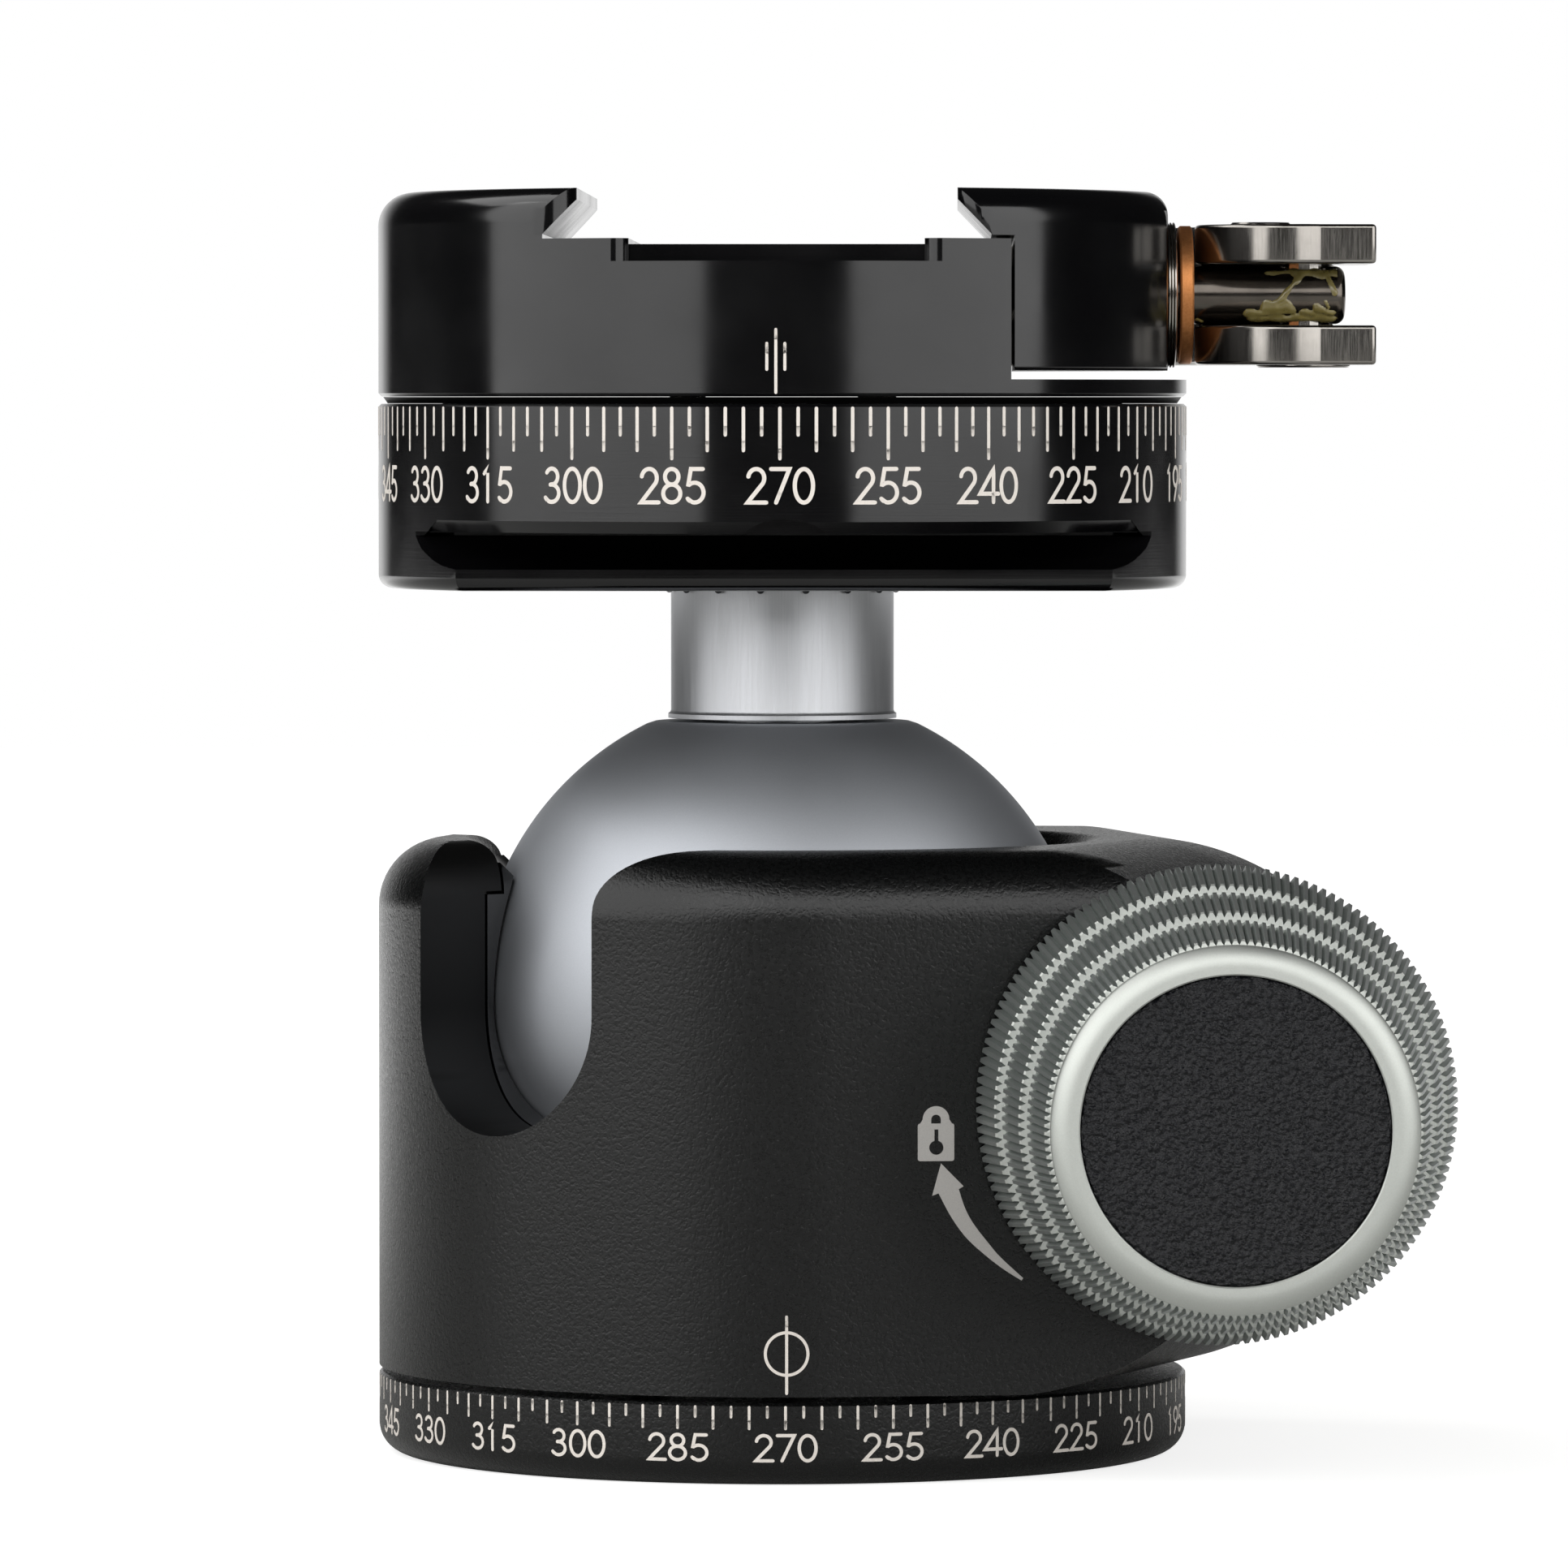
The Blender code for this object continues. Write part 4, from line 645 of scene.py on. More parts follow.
def cornerArc(wall, radius, outward, side, over=0.0):
    # plan of a rounded corner between the round side and a wall; outward is from the wall into the metal
    overlap = 0.02  # lets the arc cross the side instead of just touching it
    middle = wall + outward * (radius - over)
    depth = side * math.sqrt((clamp["radius"] + overlap - radius) ** 2 - middle ** 2)
    first, last = math.degrees(math.atan2(depth, middle)), 0.0 if outward < 0.0 else side * 180.0
    return arcPoints((middle, depth), radius, first, last, 13)


def roundCorner(wall, radius, outward, side):
    arc = cornerArc(wall, radius, outward, side, 0.02)
    clear, out = wall - outward * 0.6, side * far
    outline = arc + [(clear, arc[-1][1]), (clear, out), (arc[0][0], out)]
    return prism("corner", outline, deckZ + slack, clampTop + past)


def endNotch(side):
    # the deck's end notch, with the two bosses beside it rounded
    wall, start, out = clamp["relief"], side * clamp["notchStart"], side * far
    left, right = (cornerArc(outward * wall, clamp["corner"], outward, side) for outward in (-1.0, 1.0))
    outline = [(-wall, start), (wall, start)] + right[::-1] + [(right[0][0], out), (left[0][0], out)] + left
    return prism("endNotch", outline, deckZ - clamp["notchDepth"], clampTop + past)


def clampTurned(tools):
    # the clamp stands a little turned over the dial, as its index mark does
    for tool in tools:
        tool.data.transform(Matrix.Rotation(math.radians(clamp["turn"]), 4, "Z"))
    return tools


def sideBores(name, radius, low, high):
    # one on each side of the draw rod: bores for the springs and the guide pins
    z = rodZ - clamp["guideDrop"]
    return [rod(name, radius, low, high, placement(0.0, side * clamp["guideY"], z, turnY=90.0))
            for side in (-1.0, 1.0)]


def buildClamp():
    high, tipZ, fixed = clampTop + past, clampTop - clamp["tip"], -clamp["fixedTip"]
    foot, footZ = fixed - clamp["undercut"], tipZ - clamp["rise"]
    wall, parting, flangeTop = clamp["relief"], clamp["parting"], clampBottom + clamp["flange"]
    body = clampDisc(clampBottom)
    channel = [(fixed, high), (fixed, tipZ), (foot + 0.3, footZ + 0.3), (foot, footZ), (foot, deckZ),
               (parting, deckZ), (parting, flangeTop), (far, flangeTop), (far, high)]
    tools = [throughY("channel", channel),
             block("relief", (-wall, -far, deckZ - clamp["reliefDepth"]), (wall, far, high))]
    for side in (-1.0, 1.0):
        tools += [roundCorner(fixed, clamp["fixedCorner"], -1.0, side), endNotch(side)]
    clampTurned(tools)
    tools += sideBores("springBore", clamp["springBore"], parting - clamp["springDepth"], parting + past)
    tools.append(rod("rodBore", clamp["rodBore"], -clamp["rodStart"], parting + past, alongRod))
    for index in range(4):
        low, top = nodeBox("clamp_screw_%d" % index)
        spot = placement((low.x + top.x) / 2.0, (low.y + top.y) / 2.0)
        tools.append(rod("headBore", clamp["headBore"], top.z - clamp["headDepth"], high, spot))
        tools.append(rod("screwBore", clamp["screwBore"], clampBottom - past, top.z - past, spot))
    apply(body, tools)
    soften(body, clamp["edge"])
    piece(body, "clampBody", anodised, "clamp", "clamp_body", weighted=True)


def buildJaw():
    high, low = clampTop + past, clampBottom + clamp["flange"] + clamp["jawGap"]
    tipZ, tip, end, crown = clampTop - clamp["tip"], clamp["jawTip"], clamp["jawEnd"], clamp["jawRound"]
    foot, parting, under = tip + clamp["undercut"], clamp["parting"], deckZ + slack
    inner = [(tip, high), (tip, tipZ), (foot, tipZ - clamp["rise"]), (foot, under), (parting + slack, under),
             (parting + slack, low - past), (far, low - past), (far, high)]
    outer = [(0.0, low - past), (end, low - past)]
    outer += arcPoints((end - crown, clampTop - crown), crown, 0, 90, 12) + [(end - crown, high), (0.0, high)]
    inside, outside = throughY("inner", inner), throughY("outer", outer)
    jaw = apply(clampDisc(low), clampTurned([inside]) + [outside], "INTERSECT")
    tools = clampTurned([roundCorner(tip, clamp["jawCorner"], 1.0, side) for side in (-1.0, 1.0)])
    tools.append(rod("rodBore", clamp["rodBore"], parting - past, end + past, alongRod))
    apply(jaw, tools + sideBores("guideBore", clamp["guideBore"], parting - past, clamp["guideEnd"]))
    soften(jaw, clamp["edge"])
    piece(jaw, "movingJaw", anodised, "jaw", "moving_jaw", weighted=True)


# Release lever, draw rod and the washers between
camLeft = nodeBox("bronze_washer")[1].x + slack
lever = {"camRadius": 7.9, "camX": camLeft + 7.9, "pinX": camLeft + 9.75, "earX": camLeft + 15.9,
         "earFront": 7.1, "earRear": 5.8, "corner": 0.4, "slotHalf": 2.75, "slotEnd": 5.5,
         "webX": camLeft + 13.25, "webY": 9.0, "inner": bodyRadius + 2.45, "outer": bodyRadius + 6.95,
         "flare": 1.2, "start": 12.0, "end": 60.0, "edge": 0.35, "pinBore": 1.9, "topLand": 2.7,
         "bottomLand": 4.2, "landRise": 0.24, "landBore": 1.75, "landEdge": 0.15}
pinPlace = placement(lever["pinX"])


def leverOutline():
    points = arcPoints((lever["camX"], 0.0), lever["camRadius"], 180, 293, 40)
    corner = lever["corner"]
    points += arcPoints((lever["earX"] - corner, corner - lever["earFront"]), corner, -90, 0, 8)
    points.append((lever["earX"], lever["earRear"]))
    webRadius = math.hypot(lever["webX"], lever["webY"])
    webAngle = math.degrees(math.atan2(lever["webY"], lever["webX"]))
    steps = 36
    outer, inner = [], []
    for index in range(steps + 1):
        share = index / steps
        angle = math.radians(webAngle + (lever["end"] - webAngle) * share)
        radius = lever["outer"] + (webRadius - lever["outer"]) * (1.0 - share) ** 3
        outer.append((radius * math.cos(angle), radius * math.sin(angle)))
        angle = math.radians(lever["start"] + (lever["end"] - lever["start"]) * share)
        radius = lever["inner"] + lever["flare"] * share ** 4
        inner.append((radius * math.cos(angle), radius * math.sin(angle)))
    return points + outer + inner[::-1]


def buildLever():
    low, high, rise = leverLow.z, leverHigh.z, lever["landRise"]
    body = prism("leverForm", leverOutline(), low, high)
    bottom, top, end = rodZ - lever["slotHalf"], rodZ + lever["slotHalf"], lever["earX"] + past
    apply(body, [block("slot", (camLeft - past, -bodyRadius, bottom), (end, lever["slotEnd"], top)),
                 block("gap", (lever["webX"] - 0.6, 0.0, bottom), (end, lever["webY"] + 4.0, top)),
                 rod("pinBore", lever["pinBore"], low - past, high + past, pinPlace)])
    soften(body, lever["edge"], 3, 50.0)
    for x, radius, start, stop in ((lever["camX"] - 2.0, lever["topLand"], high - 1.0, high + rise),
                                   (lever["pinX"], lever["bottomLand"], low - rise, low + 1.0)):
        section = discSection(lever["landBore"], radius, start, stop, lever["landEdge"])
        apply(body, [lathe("land", section, placement(x), 96)], "UNION")
    piece(body, "releaseLever", steelUpright, "lever", "release_lever", weighted=True)


def buildRod():
    sizes = {"nose": 0.9, "tail": 0.3, "edge": 0.12}
    radius = round((rodHigh.z - rodLow.z) / 2.0, 1)
    end, start, nose, tail = rodHigh.x, rodLow.x, sizes["nose"], sizes["tail"]
    profile = [(0.0, start), (radius - tail, start), (radius, start + tail)]
    profile += [(radius - nose + x, end - nose + z) for x, z in arcPoints((0, 0), nose, 0, 80, 10)]
    profile += [(radius - nose - 0.1, end), (0.0, end)]
    body = lathe("rodForm", profile, alongRod, 96)
    apply(body, [rod("pinHole", lever["pinBore"], rodLow.z - past, rodHigh.z + past, pinPlace)])
    soften(body, sizes["edge"])
    piece(body, "drawRod", steelOiled, "clamp", "draw_rod", weighted=True)


def buildWashers():
    # a steel washer with two fine grooves, and a bronze one that the cam rubs on
    washer = {"ridges": 3, "groove": 0.2, "sideEdge": 0.1, "bronzeEdge": 0.15}
    low, high = nodeBox("steel_washer")
    radius, bore, side = (high.z - low.z) / 2.0, clamp["rodBore"], washer["sideEdge"]
    section = [(bore, low.x), (radius - side, low.x)]
    pitch = (high.x - low.x) / washer["ridges"]
    for index in range(washer["ridges"]):
        start = low.x + pitch * index
        section += [(radius, start + pitch * 0.3), (radius, start + pitch * 0.7)]
        if index < washer["ridges"] - 1:
            section.append((radius - washer["groove"], start + pitch))
    section += [(radius - side, high.x), (bore, high.x)]
    piece(lathe("ridged", section, alongRod, 128), "steelWasher", steelAround, "jaw", "steel_washer")
    low, high = nodeBox("bronze_washer")
    section = discSection(bore, (high.z - low.z) / 2.0, low.x, high.x, washer["bronzeEdge"])
    piece(lathe("plain", section, alongRod, 128), "bronzeWasher", bronze, "jaw", "bronze_washer")


# Strands and drops of grease on the rod: from and to (mm along the rod's front, mm round it), width, height
greaseSpots = [((43.4, 2.2), (46.0, 2.45), 0.3, 0.12), ((46.0, 2.35), (49.3, 2.2), 0.62, 0.2),
               ((48.9, 1.7), (49.5, 0.2), 0.3, 0.1), ((46.6, 2.3), (45.9, 1.2), 0.34, 0.16),
               ((45.9, 1.2), (44.7, -0.3), 0.26, 0.14), ((44.7, -0.3), (43.6, -1.2), 0.36, 0.16),
               ((41.6, -1.9), (45.4, -1.5), 0.5, 0.16), ((43.2, -1.3), (44.9, -1.2), 0.7, 0.18),
               ((42.0, -2.4), (49.3, -2.5), 0.55, 0.2), ((46.8, -1.6), (47.4, -2.0), 0.5, 0.14),
               ((47.9, -1.2), (49.2, -1.8), 0.42, 0.16), ((48.6, -0.6), (48.9, -1.2), 0.22, 0.1),
               ((37.2, -2.6), (37.6, -3.0), 0.3, 0.1)]


def greaseHeight(x, along, sunk):
    # how far the grease stands over the rod at a spot, or how deep its skin is sunk
    height = -sunk
    for first, last, width, rise in greaseSpots:
        run = Vector(last) - Vector(first)
        offset = Vector((x, along)) - Vector(first)
        share = max(0.0, min(1.0, offset.dot(run) / run.length_squared))
        apart = (offset - run * share).length
        wobble = width * (1.0 + 0.3 * math.sin(3.1 * x + 1.7 * along))
        if apart < wobble:
            height = max(height, -sunk + (rise + sunk) * math.sqrt(1.0 - (apart / wobble) ** 2))
    return height


def buildGrease():
    # one closed sleeve that stands out of the rod only where a drop or strand lies
    sleeve = {"radius": 2.6, "sunk": 0.08, "around": 120, "start": 13.6, "end": 0.75, "step": 0.12}
    radius, around = sleeve["radius"], sleeve["around"]
    start, end = rodHigh.x - sleeve["start"], rodHigh.x - sleeve["end"]
    count = int((end - start) / sleeve["step"])
    rings = []
    for station in range(count + 1):
        x = start + (end - start) * station / count
        ring = []
        for index in range(around):
            angle = math.tau * index / around  # 0 faces the front, growing upwards
            reach = radius + greaseHeight(x, math.remainder(angle, math.tau) * radius, sleeve["sunk"])
            ring.append((x, -reach * math.cos(angle), rodZ + reach * math.sin(angle)))
        rings.append(ring)
    piece(loft("greaseForm", rings), "rodGrease", grease, "clamp", sharp=80.0)


# Locking knob: three knurled bands, a bright rounded rim and a grained cap
knob = {"back": bodyRadius - 1.25, "bands": ((20.93, 19.6), (19.0, 17.85), (17.2, 16.0)), "band": 9.4,
        "groove": 2.45, "grooveDepth": 0.3, "teeth": 150, "toothDepth": 0.58, "flat": 0.42, "chamfer": 0.16,
        "rimRound": 2.1, "rimEdge": 0.08, "rimStep": 0.3, "rimAngle": 54.0, "rimLength": 2.4,
        "capRadius": 13.0, "capInset": 0.15, "capGap": 0.07, "capDepth": 2.4, "capEdge": 0.3,
        "mouthEdge": 0.12, "seat": 12.0, "seatInset": 0.55, "bore": 4.3, "screwHead": 5.8,
        "screwBore": 2.0, "screwDepth": 3.0, "wall": 3.1}


def knobSide():
    # (radius, distance from the bolt's middle, tooth depth) from back to front
    stations, start = [], knob["back"]
    chamfer, tooth, run = knob["chamfer"], knob["toothDepth"], 6
    for back, front in knob["bands"]:
        if stations:
            floor = back - knob["grooveDepth"]
            stations += [(floor, start - knob["groove"], 0.0), (floor, start, 0.0)]
        stations += [(back - chamfer, start, tooth - chamfer), (back, start + chamfer, tooth)]
        for index in range(1, run):
            share = index / run
            stations.append((back + (front - back) * share, start + knob["band"] * share, tooth))
        end = start + knob["band"]
        stations += [(front, end - chamfer, tooth), (front - chamfer, end, tooth - chamfer)]
        start = end + knob["groove"]
    outer, end = stations[-1][:2]
    # plain collar, then a broad soft shoulder up to the face
    face, shoulder = end + knob["rimLength"], knob["rimRound"]
    collar, first = outer - knob["rimStep"], math.radians(knob["rimAngle"])
    top = face - shoulder * (1.0 - math.cos(first))
    edge = knob["rimEdge"]
    stations += [(collar, end + 0.02, 0.0), (collar, top - 0.25, 0.0), (collar - edge / 2.0, top - edge, 0.0)]
    for index in range(11):
        angle = first * (1.0 - index / 10.0)
        stations.append((collar - edge - shoulder * (math.sin(first) - math.sin(angle)),
                         face - shoulder * (1.0 - math.cos(angle)), 0.0))
    return stations


def buildKnob():
    side = knobSide()
    face, back, capRadius = side[-1][1], knob["back"], knob["capRadius"]
    front = face - knob["capInset"]
    capSeat = front - knob["capDepth"] - slack
    screwSeat = capSeat - knob["screwDepth"]
    recess, mouth = capRadius + knob["capGap"], knob["mouthEdge"]
    seat, inner = bodyRadius - knob["seatInset"], screwSeat - knob["wall"]
    inside = [(recess + mouth, face), (recess, face - mouth), (recess, capSeat), (knob["screwHead"], capSeat),
              (knob["screwHead"], screwSeat), (knob["screwBore"], screwSeat), (knob["screwBore"], inner),
              (knob["bore"], inner), (knob["bore"], seat), (knob["seat"], seat), (knob["seat"], back)]
    pitch, flat = 360.0 / knob["teeth"], knob["flat"]
    rings = []
    for radius, depth, tooth in side + [(*point, 0.0) for point in inside]:
        ring = []
        for index in range(knob["teeth"]):
            for share, drop in ((0.0, tooth), (0.5 - flat / 2.0, 0.0), (0.5 + flat / 2.0, 0.0)):
                angle = math.radians(pitch * (index + share))
                reach = radius - drop
                ring.append((reach * math.cos(angle), reach * math.sin(angle), depth))
        rings.append(ring)
    body = loft("knobForm", rings, knobFacing, closedRun=True)
    piece(body, "lockingKnob", blasted, "knob", "main_knob", sharp=25.0)
    body.data.materials.append(knurled)
    body.data.materials.append(turnedBright)
    step = knob["band"] + knob["groove"]
    for face in body.data.polygons:
        x, depth, z = face.center.x / mm - boltX, -face.center.y / mm, face.center.z / mm - boltZ
        outside = math.hypot(x, z) > knob["bands"][-1][1] - 1.0 and depth < back + 3.0 * step - knob["groove"]
        if outside and abs(face.normal.y) < 0.5:
            face.material_index = 1 if (depth - back) % step < knob["band"] else 2
    edge, under = knob["capEdge"], front - knob["capDepth"]
    profile = [(0.0, under), (capRadius, under), (capRadius, front - edge)]
    profile += arcPoints((capRadius - edge, front - edge), edge, 15, 90, 5)
    profile += [(capRadius * share, front) for share in (0.75, 0.5, 0.25, 0.0)]
    piece(lathe("capForm", profile, knobFacing), "knobCap", skinBlack, "knob", "knob_cap")


# Small fluted knobs at the rear: pan lock, friction and clamp lock
def buildRearKnob(name, body, flutes, depth):
    sizes = {"edge": 0.7, "waist": 1.2, "waistLength": 0.9, "skirt": 0.25, "skirtEnds": (1.2, 1.5),
             "rim": 0.9, "dish": 0.4, "dishDepth": 0.25, "stepsPerFlute": 12}
    low, high = nodeBox(name)
    radius, start, end = (high.x - low.x) / 2.0, low.y, high.y
    edge, waist, steps = sizes["edge"], radius - sizes["waist"], flutes * sizes["stepsPerFlute"]
    skirtStart, skirtEnd = sizes["skirtEnds"]
    floor = end - sizes["dishDepth"]
    stations = [(waist, start, 0.0), (waist, start + sizes["waistLength"], 0.0),
                (radius - sizes["skirt"], start + skirtStart, 1.0), (radius, start + skirtEnd, 1.0)]
    stations += [(radius - edge + edge * x, end - edge + edge * y, 1.0)
                 for x, y in arcPoints((0, 0), 1, 0, 78, 6)]
    rim = radius - edge - sizes["rim"]
    stations += [(rim, end, 0.0), (rim - sizes["dish"], floor, 0.0)]
    grip = start + (end - start) / 2.0
    rings = [[(0.0, 0.0, grip)], circle(rearScrewBore, grip, steps), circle(rearScrewBore, start, steps)]
    for outer, height, share in stations:
        ring = []
        for index in range(steps):
            angle = math.tau * index / steps
            reach = outer - max(0.0, math.cos(angle * flutes)) ** 1.5 * depth * share
            ring.append((reach * math.cos(angle), reach * math.sin(angle), height))
        rings.append(ring)
    rings.append([(0.0, 0.0, floor)])
    solid = loft(name + "Form", rings, placement(z=(low.z + high.z) / 2.0, turnX=-90.0))
    piece(solid, "fluted_" + name, anodised, body, name)


# Printed marks, each a thin closed shell that stands a little proud
def refined(path, longest=0.45):
    points = [Vector(path[0])]
    for start, end in zip(path, path[1:]):
        start, end = Vector(start), Vector(end)
        count = max(1, math.ceil((end - start).length / longest))
        points += [start.lerp(end, index / count) for index in range(1, count + 1)]
    return points


def stroke(bm, path, half, surface, lift):
    # a printed line with round ends: a thin closed strip that follows the surface
    closed = (Vector(path[0]) - Vector(path[-1])).length < 1e-4
    points = refined(path)
    if closed:
        points = points[:-1]
    count = len(points)
    sections = []
    for index, point in enumerate(points):
        before = points[index - 1] if closed or index else None
        after = points[(index + 1) % count] if closed or index < count - 1 else None
        runs = [(b - a).normalized() for a, b in ((before, point), (point, after)) if None not in (a, b)]
        run = sum(runs, Vector((0.0, 0.0))).normalized()
        stretch = 1.0 / max(0.45, run.dot(runs[0]))
        sections.append((point, Vector((-run.y, run.x)), half * stretch))
    if not closed:
        for place, sign in ((0, -1.0), (len(sections), 1.0)):
            point, normal, _ = sections[0 if place == 0 else -1]
            run = Vector((normal.y, -normal.x)) * sign
            caps = [(point + run * half * math.sin(t), normal, half * math.cos(t)) for t in (0.5, 0.95, 1.35)]
            sections[place:place] = caps[::-1] if place == 0 else caps
    rings = []
    for point, normal, reach in sections:
        left, right = point + normal * reach, point - normal * reach
        rings.append([bm.verts.new(surface(edge.x, edge.y, height)) for edge, height in
                      ((left, lift), (right, lift), (right, -inkSink), (left, -inkSink))])
    skin(bm, rings, closedRun=closed)


def ovalPath(centre, radii, first, last, steps=22):
    return [(centre[0] + radii[0] * x, centre[1] + radii[1] * y)
            for x, y in arcPoints((0.0, 0.0), 1.0, first, last, steps)]


# Centre lines of the numerals in a box one unit high
numerals = {
    "0": [ovalPath((0.31, 0.5), (0.24, 0.44), 0, 360, 32)],
    "1": [[(0.3, 0.06), (0.3, 0.94), (0.16, 0.80)]],
    "2": [ovalPath((0.3, 0.7), (0.21, 0.24), 170, -38) + [(0.07, 0.06), (0.56, 0.06)]],
    "3": [ovalPath((0.29, 0.73), (0.185, 0.21), 150, -100), ovalPath((0.28, 0.29), (0.23, 0.23), 100, -150)],
    "4": [[(0.6, 0.28), (0.04, 0.28), (0.45, 0.94), (0.45, 0.06)]],
    "5": [[(0.52, 0.94), (0.2, 0.94), (0.13, 0.53)] + ovalPath((0.3, 0.32), (0.24, 0.26), 128, -142)],
    "6": [ovalPath((0.31, 0.31), (0.24, 0.25), 0, 360), [(0.43, 0.94), (0.1, 0.42)]],
    "7": [[(0.07, 0.94), (0.55, 0.94), (0.2, 0.06)]],
    "8": [ovalPath((0.3, 0.735), (0.185, 0.205), 0, 360), ovalPath((0.3, 0.295), (0.235, 0.235), 0, 360)],
    "9": [ovalPath((0.31, 0.69), (0.24, 0.25), 0, 360), [(0.19, 0.06), (0.52, 0.58)]],
}
numeralPitch = 0.62
numeralWidth = 0.6


def dialSurface(radiusAt, middle):
    # (mm to the right, height) on a turned side; middle is an angle in degrees to the right of the front
    def surface(along, height, lift):
        radius = radiusAt(height) + lift
        angle = math.radians(middle) + along / bodyRadius
        return (radius * math.sin(angle), -radius * math.cos(angle), height)
    return surface


def buildScale(name, body, sizes, radiusAt):
    bm = bmesh.new()
    step = 2.5
    for index in range(int(360.0 / step)):
        offset = index * step
        long = offset % 15 == 0
        length = sizes["long"] if long else sizes["middle"] if offset % 5 == 0 else sizes["short"]
        surface = dialSurface(radiusAt, sizes["turn"] - offset)
        half = sizes["tick"] / 2.0
        stroke(bm, [(0.0, sizes["top"] - half), (0.0, sizes["top"] - length + half)], half, surface, inkLift)
        if long:
            text = str(int(270 + offset) % 360)
            wide = sizes["height"] * sizes["stretch"]
            left = -wide * (numeralPitch * (len(text) - 1) + numeralWidth) / 2.0
            for place, numeral in enumerate(text):
                for layer, path in enumerate(numerals[numeral]):
                    shifted = [(left + wide * (numeralPitch * place + x), sizes["foot"] + sizes["height"] * y)
                               for x, y in path]
                    stroke(bm, shifted, sizes["pen"] / 2.0, surface, inkLift - 0.003 * layer)
    piece(newSolid(bm, name), name, ink, body, sharp=60.0)


def buildDialMarks():
    # heights above the ground, and lengths and widths of the strokes
    upper = {"top": 93.73, "long": 4.65, "middle": 3.95, "short": 2.6, "tick": 0.3, "foot": 85.23,
             "height": 3.3, "stretch": 1.0, "pen": 0.36, "turn": -0.73}
    lower = {"top": 7.05, "long": 2.1, "middle": 2.1, "short": 1.1, "tick": 0.24, "foot": 2.13,
             "height": 2.5, "stretch": 1.22, "pen": 0.29, "turn": 0.04}

    def lowerRadius(height):
        corner = base["corner"]
        drop = max(0.0, corner - height)
        return base["radius"] - corner + math.sqrt(corner ** 2 - drop ** 2)

    buildScale("upperScale", "ball", upper, lambda height: dial["radius"])
    buildScale("lowerScale", "base", lower, lowerRadius)


def buildIndexMarks():
    mark = {"half": 0.13, "clear": 0.35, "apart": 0.78, "longTop": 100.4, "shortFoot": 96.95,
            "shortTop": 99.2, "lineTop": 14.8, "ringHeight": 11.58, "ring": (1.85, 1.85), "turn": 0.19}
    half, clear, out = mark["half"], mark["clear"], mark["apart"]
    bm = bmesh.new()
    surface = dialSurface(lambda height: clamp["radius"], clamp["turn"])
    low, high = mark["shortFoot"], mark["shortTop"]
    long = (0.0, clampBottom + clear, mark["longTop"])
    for along, low, high in (long, (-out, low, high), (out, low, high)):
        stroke(bm, [(along, low), (along, high)], half, surface, inkLift)
    piece(newSolid(bm, "clampIndex"), "clampIndex", ink, "clamp", sharp=60.0)
    bm = bmesh.new()
    surface = dialSurface(lambda height: bodyRadius, mark["turn"])
    stroke(bm, [(0.0, housingBottom + clear), (0.0, mark["lineTop"])], half, surface, 0.03)
    stroke(bm, ovalPath((0.0, mark["ringHeight"]), mark["ring"], 0, 360, 64), half, surface, 0.027)
    piece(newSolid(bm, "housingIndex"), "housingIndex", ink, "housing", sharp=60.0)


# Padlock and turning arrow on the flat flank beside the knob, as (mm right of the axis, height)
lockMark = {"x": 13.1, "foot": 28.25, "width": 3.17, "height": 3.27, "round": 0.2, "shackleWidth": 2.32,
            "shackleTop": 4.78, "archWidth": 0.84, "keyRadius": 0.62, "keyRise": 1.17, "keySlot": 0.17,
            "keyTop": 2.75}
arrowMark = {"outer": [(1149, 1475), (1157, 1472), (1173, 1502), (1192, 1528), (1216, 1550), (1238, 1567),
                       (1260, 1581)],
             "inner": [(1262, 1578), (1234, 1552), (1219.5, 1535), (1201, 1511), (1190, 1491), (1182, 1467),
                       (1188, 1463.5)],
             "tip": (1160, 1435)}
# where the photo shows the flank: pixels to a millimetre, and one pixel with its place in mm
photoScale = {"pixelsPerMm": 14.22, "column": 964.0, "row": 490.0, "x": -0.25, "z": 94.5}
markHalf = 0.045  # half the thickness of a mark on the flank


def flatMark(name, contours, look):
    # filled outlines with holes, laid on the housing's flat flank
    curve = bpy.data.curves.new(name, "CURVE")
    curve.dimensions = "2D"
    curve.fill_mode = "BOTH"
    curve.extrude = markHalf
    for contour in contours:
        line = curve.splines.new("POLY")
        line.points.add(len(contour) - 1)
        line.use_cyclic_u = True
        for point, (x, y) in zip(line.points, contour):
            point.co = (x, y, 0.0, 1.0)
    drawn = addObject(name, curve)
    mesh = bpy.data.meshes.new_from_object(drawn.evaluated_get(bpy.context.evaluated_depsgraph_get()))
    bpy.data.objects.remove(drawn, do_unlink=True)
    bm = bmesh.new()
    bm.from_mesh(mesh)
    bmesh.ops.remove_doubles(bm, verts=bm.verts[:], dist=1e-4)
    cornerX, cornerY = wallCorner(bodyRadius)
    slope = math.radians(shell["slope"])
    for vert in bm.verts:
        x, z, lift = vert.co.x, vert.co.y, vert.co.z - inkLift
        y = -(cornerY - (x - cornerX) * math.tan(slope))
        vert.co = (x + lift * math.sin(slope), y - lift * math.cos(slope), z)
    piece(newSolid(bm, name), name, look, "housing", sharp=60.0)


def smoothPath(points, steps=8):
    # a curve through given points
    out = []
    for index in range(len(points) - 1):
        a, b, c, d = (Vector(points[max(0, min(len(points) - 1, index + k))]) for k in (-1, 0, 1, 2))
        for step in range(steps):
            t = step / steps
            out.append(tuple(0.5 * ((2 * b) + (c - a) * t + (2 * a - 5 * b + 4 * c - d) * t * t
                                    + (3 * b - a - 3 * c + d) * t ** 3)))
    return out + [tuple(points[-1])]


